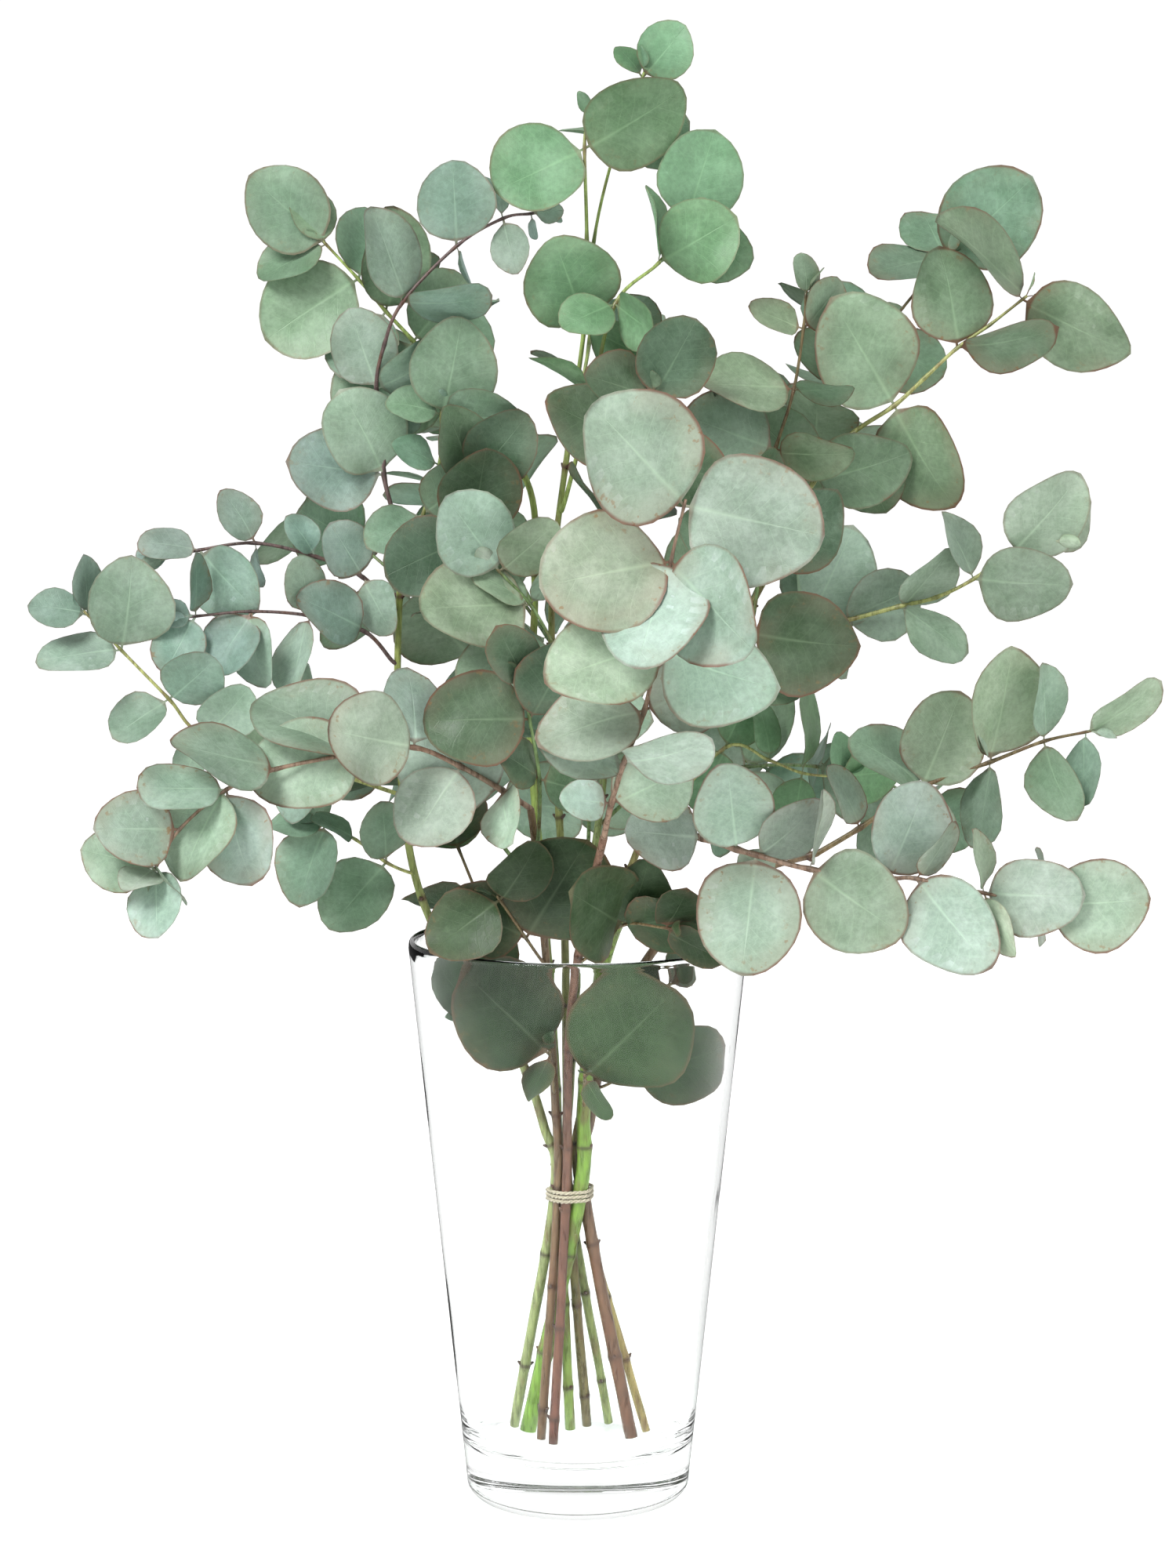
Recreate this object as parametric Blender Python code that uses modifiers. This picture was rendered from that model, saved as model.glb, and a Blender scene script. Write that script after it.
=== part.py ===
"""A bunch of cut silver-leaf eucalyptus stems, tied with twine and standing in a tapered glass vase.

Metres, +Z up, the vase's flat bottom on z = 0 with its middle at the origin, the bunch's front towards -Y.
Nine woody stems stand on the inner floor, cross at the tie and fan out. Leafy shoots grow from them.
"""

import math

import bmesh
import bpy
import numpy as np
from mathutils.bvhtree import BVHTree

CM = 0.01
TURN = 2 * math.pi

# The vase: thick solid base, straight tapered wall, rounded rim. Radius and height in centimetres.
VASE_INSIDE = ((0.0, 2.2), (3.5, 2.2), (4.25, 2.4), (4.7, 2.85), (4.93, 3.6), (7.12, 24.6))
VASE_RIM = ((7.17, 24.88), (7.3, 25.0), (7.42, 24.88))
VASE_OUTSIDE = ((7.45, 24.6), (4.98, 1.0), (4.9, 0.45), (4.6, 0.1), (4.3, 0.0), (0.0, 0.0))
VASE_STEPS = 48

# The twine: turns of a coil round the bundle where the stems cross.
TIE_MIDDLE = (-0.38, -0.01, 13.6)
TIE_RADIUS = 1.12
TIE_TURNS = 3.0
TIE_PITCH = 0.19
TWINE_RADIUS = 0.085
TIE_STEPS_A_TURN = 14

# Woody parts
STEM_PER_SPAN = 2
TWIG_PER_SPAN = 1
BARK_SIDES = 6
SMOOTH_BELOW = 70.0
TWIG_SIDES = 4
TWIG_TIP_RADIUS = 0.06
TWIG_OVERRUN = 0.25
NODE_GAP = 0.045
END_GAP = 0.05

# Leaves
LEAF_RIM_POINTS = 8
LEAF_THICKNESS = 0.07
LEAF_CLEARANCE = 0.04
PETIOLE = 0.30
LEAF_ROOT = 0.04
PAIR_SPREAD = 62.0
# Least and greatest width over length, fold, bend, twist and egg shape
TRAIT_RANGE = ((0.86, 0.05, -0.04, -0.35, 0.02), (1.04, 0.36, 0.26, 0.35, 0.18))
CROSSING_SKIN = 1.0
SEED = 41

# Centimetres. A stem's row is name, radius at the cut end and at the top, and the joints of its centre line.
STEMS = (
    (
        "stem_1", 0.235, 0.14,
        (
            (-2.9, 1.9, 2.45), (-1.04, 0.03, 13.6), (-1.5, 0.0, 16.6), (-2.6, -0.3, 19.8),
            (-4.5, -0.8, 23.0), (-6.2, -0.9, 25.4), (-7.3, -1.0, 28.8), (-7.8, -0.8, 34.0),
            (-7.8, -0.5, 38.5), (-7.6, -0.3, 42.3),
        ),
    ),
    (
        "stem_2", 0.37, 0.21,
        (
            (-2.25, 0.8, 2.55), (0.07, -0.44, 13.6), (0.25, -0.8, 17.5), (0.6, -1.8, 21.5),
            (1.5, -3.9, 25.6), (3.0, -6.3, 28.9), (4.2, -7.4, 30.5),
        ),
    ),
    (
        "stem_3", 0.21, 0.16,
        (
            (-1.65, -0.5, 2.4), (-0.89, -0.41, 13.6), (-1.0, -0.8, 18.0), (-1.3, -2.0, 23.5),
            (-1.8, -3.8, 29.5), (-2.0, -4.2, 31.2),
        ),
    ),
    (
        "stem_4", 0.22, 0.17,
        (
            (-1.1, -1.4, 2.4), (-0.51, -0.68, 13.6), (-0.45, -1.2, 17.5), (-0.3, -2.5, 22.0),
            (0.3, -5.6, 26.6), (1.1, -9.5, 30.6),
        ),
    ),
    (
        "stem_5", 0.235, 0.13,
        (
            (-0.35, 1.6, 2.4), (-0.84, 0.47, 13.6), (-1.0, 0.8, 19.0), (-1.5, 1.5, 26.0),
            (-2.1, 2.1, 34.0), (-1.9, 2.2, 40.0), (-2.1, 2.1, 44.6), (-4.2, 2.0, 47.6),
        ),
    ),
    (
        "stem_6", 0.22, 0.13,
        (
            (0.4, 2.2, 2.4), (-0.42, 0.1, 13.6), (-0.5, 0.1, 19.0), (-0.6, 0.3, 26.0),
            (-1.0, 0.3, 34.0), (-1.1, 0.2, 40.7), (-0.3, 0.2, 47.4),
        ),
    ),
    (
        "stem_7", 0.21, 0.15,
        (
            (1.4, 2.6, 2.4), (-0.41, 0.64, 13.6), (-0.35, 1.3, 18.0), (0.1, 3.0, 24.0),
            (1.0, 6.0, 30.0), (1.6, 8.0, 36.0), (1.8, 9.5, 42.0),
        ),
    ),
    (
        "stem_8", 0.29, 0.15,
        (
            (2.4, -0.6, 2.5), (0.27, 0.15, 13.6), (0.55, 0.0, 17.0), (1.3, -0.1, 20.5),
            (3.0, -0.3, 24.0), (5.0, -0.6, 26.3), (7.6, -1.1, 28.0), (10.4, -2.0, 29.0),
        ),
    ),
    (
        "stem_9", 0.2, 0.14,
        (
            (3.1, 0.9, 2.4), (0.06, 0.62, 13.6), (0.3, 1.0, 18.0), (1.3, 1.8, 24.5),
            (3.6, 2.3, 31.0), (6.4, 2.5, 37.0), (9.0, 2.4, 42.0),
        ),
    ),
)

# Centimetres and degrees. A shoot's row is name, the stem it grows from, its twig's radius there, and joints.
# A joint is x, y, z and its leaves. A leaf is length, clock (0 right, 90 up), lean to the front and roll.
# Where a leaf has only a length and a turn, it stands for an opposite pair, turned that far round the twig.
SHOOTS = (
    (
        "shoot_top_centre", "stem_6", 0.13,
        (
            (-0.3, 0.2, 47.4, ()),
            (0.3, 0.2, 51.8, ((4.2, 110, 30, 8), (3.4, 328, 10, 50))),
            (0.4, 0.0, 55.3, ((1.6, 200, 0, 60),)),
            (0.3, 0.2, 59.3, ((4.1, 207, 10, 25), (4.6, 27, 10, 20))),
            (0.4, 0.3, 60.3, ()),
        ),
    ),
    (
        "shoot_top_tip", "stem_6", 0.1,
        (
            (-0.4, 0.3, 46.6, ()),
            (0.5, 1.6, 51.0, ()),
            (0.7, 1.8, 55.4, ()),
            (1.7, 1.5, 59.6, ((2.4, 160, 0, 70), (3.0, 14, 10, 15))),
            (2.8, 1.2, 62.4, ((2.6, 48, 15, 10), (1.5, 124, 0, 45))),
        ),
    ),
    (
        "shoot_top_right", "stem_6", 0.12,
        (
            (-0.9, 0.2, 43.0, ()),
            (0.6, -1.2, 48.6, ((3.0, 15),)),
            (1.6, -1.4, 52.6, ((2.4, 200, 30, 30), (2.6, 340, 30, 40))),
            (3.5, -0.6, 54.4, ((3.7, 30, 15, 10), (3.1, 92, 20, 75))),
            (4.6, 0.4, 56.0, ((4.2, 72, -10, 25), (3.1, -35, 10, 20))),
        ),
    ),
    (
        "shoot_left_arch", "stem_5", 0.13,
        (
            (-4.2, 2.0, 47.6, ()),
            (-5.6, 2.0, 49.2, ((3.8, 190, 20, 20), (3.6, 75, 0, 35))),
            (-7.2, 2.0, 51.1, ((4.7, 232, 15, 10), (3.6, 60, -15, 30))),
            (-8.4, 2.0, 52.4, ((3.4, 225, 35, 30), (4.2, 78, 10, 35))),
            (-9.6, 2.0, 53.8, ((4.6, 212, 10, 15), (3.6, 95, -20, 20))),
            (-11.0, 2.1, 55.3, ((4.2, 138, 10, 10), (3.1, 216, 15, 50), (2.4, 95, 0, 40))),
        ),
    ),
    (
        "shoot_left_slender", "stem_1", 0.12,
        (
            (-7.6, -0.3, 42.3, ()),
            (-8.4, -0.2, 45.3, ((3.9, 122, 15, 30), (4.1, 172, 15, 10))),
            (-8.2, 0.0, 47.2, ((2.6, 15, 30, 30),)),
            (-8.7, -0.3, 49.0, ((3.5, 108, 15, 15), (3.6, 30, 10, 50))),
            (-8.3, -1.0, 50.9, ()),
            (-7.5, -1.1, 52.7, ((4.0, 105, 10, 50), (3.6, 356, 10, 70))),
            (-5.2, -0.6, 55.1, ((3.4, 92, 10, 15), (2.3, 292, 10, 80))),
            (-3.2, -0.3, 56.3, ((1.7, 80, 10, 60), (2.2, 282, 10, 30))),
            (-2.0, -0.3, 56.5, ((1.2, 5, 15, 10), (0.9, 280, 10, 60))),
        ),
    ),
    (
        "shoot_left_inner", "stem_1", 0.11,
        (
            (-7.7, -0.4, 40.5, ()),
            (-6.7, -0.4, 43.6, ((2.8, 205, 40, 20), (3.2, 20, 20, 25))),
            (-6.0, -0.4, 45.7, ((2.6, 200, 30, 40), (3.0, 330, 20, 20))),
            (-5.9, -0.3, 47.9, ((4.0, 75, 15, 15), (3.4, 355, 20, 30), (2.2, 160, 20, 40))),
        ),
    ),
    (
        "shoot_right_arch", "stem_9", 0.14,
        (
            (9.0, 2.4, 42.0, ()),
            (10.4, 2.2, 45.0, ((3.8, 130, 15, 20), (4.1, 16, 15, 12))),
            (12.0, 2.1, 47.0, ((3.6, 285, 20, 20), (3.0, 180, 30, 40))),
            (13.9, 2.0, 48.3, ((5.4, 122, 15, 8), (4.9, 295, 15, 40))),
            (15.2, 1.8, 49.5, ()),
            (16.6, 1.7, 50.8, ((4.2, 5, 15, 60), (4.2, 97, 5, 20))),
            (18.0, 1.6, 51.8, ()),
            (19.4, 1.5, 52.9, ((5.0, 132, 10, 65), (5.0, -30, 15, 35))),
        ),
    ),
    (
        "shoot_right_crown", "stem_9", 0.12,
        (
            (8.6, 2.4, 41.2, ()),
            (10.6, 4.2, 46.6, ((3.6, 90),)),
            (13.4, 4.6, 51.2, ((3.6, 150, 0, 25), (3.2, 330, -10, 30))),
            (16.2, 4.0, 54.8, ((4.9, 40, 12, 15), (3.4, 190, 20, 60), (3.2, 108, -45, 10))),
        ),
    ),
    (
        "shoot_right_inner", "stem_9", 0.11,
        (
            (6.6, 2.5, 37.0, ()),
            (7.2, 1.4, 42.0, ((3.8, 30),)),
            (8.6, 0.6, 46.4, ((4.2, 160, 15, 10), (3.2, 350, 20, 40))),
            (9.4, 0.6, 49.0, ((4.0, 195, 15, 45), (2.6, 30, 10, 45))),
            (9.8, 0.6, 51.6, ((2.6, 55, 10, 30), (2.4, 160, 10, 45))),
            (9.9, 0.6, 53.0, ((1.6, 90, 10, 40),)),
        ),
    ),
    (
        "shoot_front_centre", "stem_4", 0.16,
        (
            (1.1, -9.5, 30.6, ()),
            (1.4, -11.2, 32.2, ((2.0, 172, 20, 20), (3.4, 15, 20, 30))),
            (1.9, -12.4, 34.0, ((3.8, 168, 30, 50), (3.9, 10, 35, 55))),
            (2.7, -13.6, 36.2, ((4.2, 190, 20, 45), (3.8, 12, 20, 25))),
            (3.2, -14.6, 38.8, ((4.6, 190, 35, 25), (4.8, 345, 30, 25))),
            (3.7, -15.4, 42.2, ((5.0, 188, 15, 25), (5.1, 318, 15, 15), (4.6, 250, 30, 15))),
            (4.2, -15.8, 44.4, ((5.2, 132, 15, 15), (5.4, -12, 15, 8))),
        ),
    ),
    (
        "shoot_front_left", "stem_3", 0.15,
        (
            (-2.0, -4.2, 31.2, ()),
            (-3.2, -5.2, 32.1, ((4.6, 150, 15, 12), (2.8, 300, 30, 30))),
            (-4.9, -6.2, 33.2, ((3.7, 236, 15, 20), (3.2, 60, 10, 30))),
            (-6.8, -7.2, 34.1, ((3.9, 182, 20, 10), (3.4, 90, -20, 30))),
            (-8.9, -8.2, 34.0, ((4.5, 190, 15, 15), (5.0, 152, -15, 50))),
            (-12.4, -9.2, 33.4, ((4.3, 168, 0, 55),)),
            (-14.4, -9.7, 32.6, ((3.9, 238, 15, 35), (3.8, 282, 15, 25), (3.4, 178, 10, 65))),
            (-16.3, -10.0, 31.0, ((3.3, 158, 30, 25), (2.8, 75, 10, 40))),
            (-17.3, -10.1, 29.4, (
                (2.9, 150, 45, 25), (2.9, 275, 35, 30), (2.0, 210, 60, 40), (2.2, 20, 50, 30),
            )),
        ),
    ),
    (
        "shoot_front_right", "stem_2", 0.18,
        (
            (4.2, -7.4, 30.5, ()),
            (5.2, -8.0, 30.4, ((3.4, 172, 25, 20), (3.0, 60, 10, 40))),
            (6.6, -8.6, 30.0, ((3.9, 97, 25, 8), (2.4, 300, 30, 30))),
            (7.4, -8.9, 29.8, ((4.8, 262, 20, 8), (3.2, 40, 10, 35))),
            (9.6, -9.6, 29.3, ((4.4, -28, 15, 8), (3.2, 84, 10, 80))),
            (12.7, -10.1, 29.0, ((4.0, 112, 15, 20), (3.0, 285, 10, 60))),
            (13.9, -10.3, 29.0, ((4.5, -52, 15, 20), (2.6, 60, 10, 50))),
            (16.6, -11.0, 28.5, ((3.9, 8, 20, 10), (2.5, 100, 10, 65), (2.6, 262, 10, 60))),
            (19.0, -11.5, 28.1, ((4.0, 3, 15, 10), (2.2, 92, 10, 82), (2.2, 272, 10, 82))),
        ),
    ),
    (
        "shoot_right_low", "stem_8", 0.15,
        (
            (10.4, -2.0, 29.0, ()),
            (12.2, -2.1, 30.1, ((2.8, 110, 10, 50),)),
            (14.9, -2.2, 31.9, ((4.2, 54, 15, 12), (3.6, 135, 15, 60), (2.8, 280, 0, 30))),
            (17.8, -2.3, 33.0, ((4.9, 79, 10, 45), (3.5, 136, 0, 65), (3.6, 262, 10, 70))),
            (20.1, -2.3, 33.9, ((3.2, 90, 10, 50), (3.4, 284, 10, 55))),
            (21.9, -2.3, 34.3, ((3.6, 28, 10, 55), (3.0, 258, 10, 70))),
        ),
    ),
    (
        "shoot_right_mid", "stem_9", 0.14,
        (
            (6.2, 2.5, 36.0, ()),
            (10.0, 1.0, 38.6, ((4.6, 62, 20, 10), (3.6, 95, 10, 78))),
            (11.6, 0.6, 38.9, ((2.4, 275, 10, 70), (3.4, 40, -20, 30))),
            (14.0, -0.2, 39.6, ((3.2, 45, 10, 50), (3.4, -24, 10, 60))),
            (15.6, -0.3, 40.0, ()),
            (17.2, -0.4, 40.8, ((4.0, -5, 15, 20), (3.0, 120, 10, 50))),
            (18.8, -0.5, 42.0, ((4.1, 48, 10, 15),)),
            (20.4, -0.6, 42.4, ((2.9, 22, 10, 20), (1.8, 100, 0, 50))),
        ),
    ),
    (
        "shoot_left_high", "stem_1", 0.11,
        (
            (-7.8, -0.5, 39.3, ()),
            (-9.3, -0.9, 40.9, ((2.6, 110, 20, 30), (2.6, 270, 20, 40))),
            (-11.3, -1.2, 41.8, ((1.9, 120, 10, 45), (2.0, 262, 10, 65))),
            (-13.9, -1.4, 42.4, ((2.4, 115, 10, 45), (1.7, 280, 10, 78))),
            (-16.3, -1.5, 42.1, ((2.4, 168, 10, 60), (3.4, 312, 15, 20))),
            (-17.5, -1.5, 41.8, ((1.3, 160, 10, 20),)),
        ),
    ),
    (
        "shoot_left_mid", "stem_1", 0.11,
        (
            (-7.8, -0.6, 37.0, ()),
            (-9.2, -1.6, 38.6, ((3.2, 175, 20, 25),)),
            (-11.5, -2.1, 39.3, ((3.4, 255, 10, 65), (2.4, 80, 10, 40))),
            (-14.0, -2.3, 39.5, ((3.1, 238, 15, 30), (3.0, 272, 15, 40))),
            (-16.4, -2.4, 39.3, ((2.6, 95, 10, 65), (2.6, 242, 15, 12), (1.6, 180, 20, 30))),
        ),
    ),
    (
        "shoot_left_low", "stem_1", 0.11,
        (
            (-7.6, -0.9, 31.4, ()),
            (-11.8, -2.6, 33.0, ((2.4, 255, 20, 30),)),
            (-16.0, -3.0, 34.2, ((2.8, 62, 15, 25), (2.0, 240, 20, 30))),
            (-17.5, -3.1, 35.8, ((2.9, 46, 15, 25), (2.7, 214, 15, 45))),
            (-19.5, -3.2, 37.9, ((3.8, 77, 15, 30), (3.4, 184, 15, 50))),
            (-20.9, -3.2, 39.4, ((2.4, 92, 10, 62), (2.3, 165, 10, 40))),
        ),
    ),
    (
        "shoot_rim_left", "stem_1", 0.09,
        (
            (-7.1, -1.0, 27.9, ()),
            (-8.3, -2.0, 28.6, ((3.6, 228, 20, 25), (2.6, 90, 20, 40))),
            (-9.6, -2.1, 29.6, ((2.0, 170, 10, 60),)),
            (-10.9, -2.2, 30.3, ((3.5, 248, 15, 40), (2.2, 176, 15, 55), (1.6, 80, 10, 30))),
        ),
    ),
    (
        "shoot_right_wisp", "stem_9", 0.09,
        (
            (3.5, 2.3, 28.6, ()),
            (6.5, 2.0, 33.2, ((3.2, 80, -10, 30), (3.0, 250, -10, 30))),
            (8.5, 2.6, 32.6, ((2.6, 100, -10, 50),)),
            (10.0, 2.8, 32.0, ((3.8, 78, 0, 78), (2.4, 262, 0, 40))),
            (11.6, 3.0, 31.8, ((2.8, 5, -30, 10), (1.8, 80, -10, 40))),
        ),
    ),
    (
        "shoot_centre_left", "stem_6", 0.12,
        (
            (-0.8, 0.3, 30.5, ()),
            (0.2, -2.6, 34.2, ((3.4, 20),)),
            (0.0, -3.6, 36.2, ((3.4, 340, 20, 30), (2.8, 200, 20, 30))),
            (-0.9, -4.1, 38.0, ((4.3, 193, 20, 40), (3.6, 12, 15, 20))),
            (-2.0, -4.2, 39.9, ((4.6, 180, 20, 30), (3.2, 50, 10, 60), (2.5, 138, 10, 60))),
            (-3.3, -4.2, 41.3, ((3.7, 124, 15, 12), (3.0, 30, 15, 30))),
        ),
    ),
    (
        "shoot_centre_low", "stem_3", 0.11,
        (
            (-1.7, -3.5, 28.6, ()),
            (-1.6, -5.6, 32.6, ((2.6, 350, 30, 20), (2.4, 160, 30, 30))),
            (-2.0, -6.2, 35.2, ((4.2, 178, 20, 12), (3.6, 60, 10, 25))),
            (-2.2, -6.4, 36.6, ((2.6, 110, 20, 30),)),
        ),
    ),
    (
        "shoot_core_left", "stem_6", 0.12,
        (
            (-1.1, 0.3, 36.4, ()),
            (-3.2, -0.8, 39.6, ((3.8, 10),)),
            (-4.6, -1.2, 42.6, ((4.0, 80, 20, 15), (3.8, 200, 25, 20))),
            (-4.6, -1.2, 45.0, ((3.6, 40, 20, 15), (3.2, 140, 20, 30))),
        ),
    ),
    (
        "shoot_core_right", "stem_6", 0.12,
        (
            (-1.1, 0.2, 39.6, ()),
            (1.2, -1.8, 43.4, ((3.8, 60),)),
            (2.6, -2.4, 46.4, ((4.2, 150, 20, 15), (4.0, 340, 20, 15))),
            (3.2, -2.6, 48.6, ((3.6, 60, 15, 15), (3.0, 160, 20, 35))),
        ),
    ),
    (
        "shoot_core_far_right", "stem_9", 0.12,
        (
            (4.7, 2.4, 32.4, ()),
            (6.2, -1.0, 35.6, ((3.8, 30),)),
            (7.4, -2.4, 38.6, ((4.4, 350, 20, 15), (3.8, 190, 20, 20))),
            (7.8, -2.8, 41.6, ((4.2, 40, 15, 20), (3.8, 150, 20, 15))),
            (7.9, -2.9, 43.6, ((2.8, 85, 15, 40),)),
        ),
    ),
    (
        "shoot_over_rim", "stem_4", 0.09,
        (
            (0.0, -3.9, 24.3, ()),
            (1.9, -5.8, 26.4, ((4.4, 150, 10, 10), (3.6, 10, 20, 30), (3.2, 75, 10, 20))),
            (3.7, -7.2, 26.5, ((2.6, 325, 15, 50), (2.4, 80, 20, 30))),
        ),
    ),
    (
        "shoot_rim_dark", "stem_3", 0.09,
        (
            (-1.4, -2.2, 24.0, ()),
            (-2.2, -4.2, 25.6, ((5.0, 50, 10, 8), (3.6, 150, 20, 20))),
            (-3.3, -5.2, 27.4, ((3.4, 222, 15, 12), (3.0, 60, 15, 20))),
        ),
    ),
    (
        "shoot_glass_left", "stem_3", 0.09,
        (
            (-1.0, -0.8, 17.6, ()),
            (-1.2, -2.2, 20.2, ((5.3, 128, 8, 10), (2.0, 245, 20, 50))),
        ),
    ),
    (
        "shoot_glass_centre", "stem_2", 0.09,
        (
            (0.25, -0.8, 17.2, ()),
            (0.3, -2.6, 19.3, ((5.6, 62, 5, 10), (1.9, 300, 20, 50))),
        ),
    ),
    (
        "shoot_glass_right", "stem_8", 0.09,
        (
            (0.8, 0.0, 18.2, ()),
            (2.3, -1.0, 19.2, ((4.0, 2, 5, 20), (3.0, 75, 0, 30))),
        ),
    ),
    (
        "shoot_glass_wall", "stem_8", 0.08,
        (
            (1.9, -0.2, 22.0, ()),
            (4.0, 0.5, 22.8, ((4.0, 85, 5, 50), (2.4, 200, -10, 40))),
        ),
    ),
    (
        "shoot_glass_edge", "stem_1", 0.08,
        (
            (-3.3, -0.6, 21.2, ()),
            (-4.5, -1.6, 21.8, ((2.7, 140, 10, 40), (2.6, 60, 20, 20))),
        ),
    ),
    (
        "shoot_glass_rear", "stem_5", 0.09,
        (
            (-1.3, 1.2, 20.0, ()),
            (-2.8, 2.6, 22.6, ((3.6, 140, -10, 20), (3.0, 260, -20, 30))),
            (-4.2, 3.6, 25.6, ((3.6, 200),)),
            (-5.4, 4.4, 28.4, ((4.0, 100),)),
            (-6.6, 5.0, 31.2, ((4.0, 10),)),
            (-7.6, 5.4, 33.8, ((3.4, 90),)),
        ),
    ),
    (
        "shoot_rear_low_left", "stem_5", 0.12,
        (
            (-1.8, 1.8, 26.5, ()),
            (-5.0, 5.6, 30.2, ((4.0, 0),)),
            (-8.4, 8.4, 31.8, ((4.4, 90),)),
            (-11.4, 10.2, 32.6, ((4.0, 10),)),
            (-13.8, 11.4, 32.4, ((3.4, 90),)),
        ),
    ),
    (
        "shoot_rear_left", "stem_5", 0.12,
        (
            (-2.2, 2.2, 33.4, ()),
            (-4.8, 5.4, 37.0, ((4.4, 90),)),
            (-7.6, 8.0, 39.8, ((4.6, 0),)),
            (-10.0, 9.8, 41.8, ((4.2, 90),)),
            (-12.0, 10.8, 43.0, ((3.4, 10),)),
        ),
    ),
    (
        "shoot_rear_high_left", "stem_5", 0.12,
        (
            (-1.9, 2.2, 39.4, ()),
            (-4.2, 5.0, 43.6, ((4.4, 0),)),
            (-6.0, 6.6, 47.2, ((4.4, 90),)),
            (-7.0, 7.6, 50.6, ((4.0, 0),)),
            (-7.4, 8.0, 53.4, ((3.0, 90),)),
        ),
    ),
    (
        "shoot_rear_crown", "stem_7", 0.13,
        (
            (1.8, 9.5, 42.0, ()),
            (2.0, 10.2, 45.2, ((4.6, 90),)),
            (2.0, 10.6, 48.4, ((4.6, 0),)),
            (2.2, 10.8, 51.2, ((3.6, 90),)),
        ),
    ),
    (
        "shoot_rear_inner_left", "stem_7", 0.12,
        (
            (1.4, 7.3, 33.8, ()),
            (-1.4, 9.6, 37.6, ((4.4, 0),)),
            (-3.6, 11.4, 40.8, ((4.4, 90),)),
            (-5.0, 12.6, 44.2, ((4.0, 0),)),
            (-5.6, 13.2, 46.8, ((3.2, 90),)),
        ),
    ),
    (
        "shoot_rear_inner_right", "stem_7", 0.12,
        (
            (1.6, 8.0, 36.2, ()),
            (4.4, 10.2, 39.6, ((4.4, 90),)),
            (7.2, 12.0, 42.0, ((4.4, 0),)),
            (9.2, 13.2, 45.0, ((4.0, 90),)),
            (10.4, 13.8, 47.6, ((3.0, 0),)),
        ),
    ),
    (
        "shoot_rear_low", "stem_7", 0.12,
        (
            (0.3, 4.0, 25.2, ()),
            (0.5, 8.8, 29.6, ((4.2, 0),)),
            (0.2, 12.2, 31.2, ((4.4, 90),)),
            (-0.2, 15.0, 31.4, ((4.0, 0),)),
            (-0.6, 17.2, 30.6, ((3.2, 90),)),
        ),
    ),
    (
        "shoot_rear_low_right", "stem_7", 0.12,
        (
            (0.9, 5.7, 29.2, ()),
            (3.8, 8.8, 31.4, ((4.2, 90),)),
            (6.6, 11.4, 31.8, ((4.4, 0),)),
            (8.8, 13.4, 31.2, ((4.0, 90),)),
            (10.4, 14.8, 30.0, ((3.0, 0),)),
        ),
    ),
    (
        "shoot_rear_right", "stem_9", 0.12,
        (
            (4.2, 2.4, 31.2, ()),
            (7.6, 5.4, 32.0, ((4.2, 0),)),
            (11.0, 7.6, 31.8, ((4.4, 90),)),
            (14.0, 9.0, 31.0, ((4.0, 0),)),
            (16.2, 9.8, 29.8, ((3.2, 90),)),
        ),
    ),
    (
        "shoot_rear_high_right", "stem_9", 0.12,
        (
            (7.2, 2.5, 38.4, ()),
            (9.0, 5.4, 42.2, ((4.2, 90),)),
            (10.6, 7.4, 45.8, ((4.4, 0),)),
            (11.4, 8.6, 49.2, ((4.0, 90),)),
            (11.8, 9.2, 52.0, ((3.0, 0),)),
        ),
    ),
)


def smooth_line(joints, per_span):
    """The line through the joints: each span is the Catmull-Rom cubic of the joints before and after it."""
    p = np.asarray(joints, dtype=float)
    p = np.vstack([2 * p[0] - p[1], p, 2 * p[-1] - p[-2]])
    t = (np.arange(per_span) / per_span)[:, None]
    spans = []
    for a, b, c, d in zip(p[:-3], p[1:-2], p[2:-1], p[3:]):
        cubic = 2 * b + t * (c - a) + t**2 * (2 * a - 5 * b + 4 * c - d) + t**3 * (3 * b - a - 3 * c + d)
        spans.append(0.5 * cubic)
    return np.vstack(spans + [p[-2:-1]])


def unit(v):
    """v over its own length."""
    v = np.asarray(v, dtype=float)
    return v / np.linalg.norm(v, axis=-1, keepdims=True)


def nearest(line, point):
    """Where a line passes nearest to a point: (distance, place along it from 0 to 1, point on the line)."""
    a = line[:-1]
    along = line[1:] - a
    share = np.clip(((point - a) * along).sum(1) / (along**2).sum(1), 0, 1)
    feet = a + share[:, None] * along
    far = np.linalg.norm(feet - point, axis=1)
    i = int(far.argmin())
    return far[i], (i + share[i]) / len(a), feet[i]


def tube(line, radii, sides):
    """Points and quads of a tube: a ring round each point of the line, square to it."""
    ahead = unit(np.gradient(line, axis=0))
    off = np.array([0.0, 1.0, 0.0]) if abs(ahead[:, 1]).mean() < 0.7 else np.array([1.0, 0.0, 0.0])
    across = unit(np.cross(ahead, off))
    up = np.cross(across, ahead)
    angle = np.arange(sides) * TURN / sides
    ring = across[:, None] * np.cos(angle)[None, :, None] + up[:, None] * np.sin(angle)[None, :, None]
    points = (line[:, None] + ring * np.asarray(radii)[:, None, None]).reshape(-1, 3)
    first = np.arange(len(line) - 1)[:, None] * sides
    k = np.arange(sides)[None, :]
    after = (k + 1) % sides
    quads = np.stack([first + k, first + after, first + sides + after, first + sides + k], axis=-1)
    return points, quads.reshape(-1, 4)


def stem_lines():
    """Each stem's name to its centre line and the radius at each of its points, in metres."""
    lines = {}
    for name, thick, thin, joints in STEMS:
        line = smooth_line(np.array(joints) * CM, STEM_PER_SPAN)
        lines[name] = (line, np.linspace(thick, thin, len(line)) * CM)
    return lines


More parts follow.
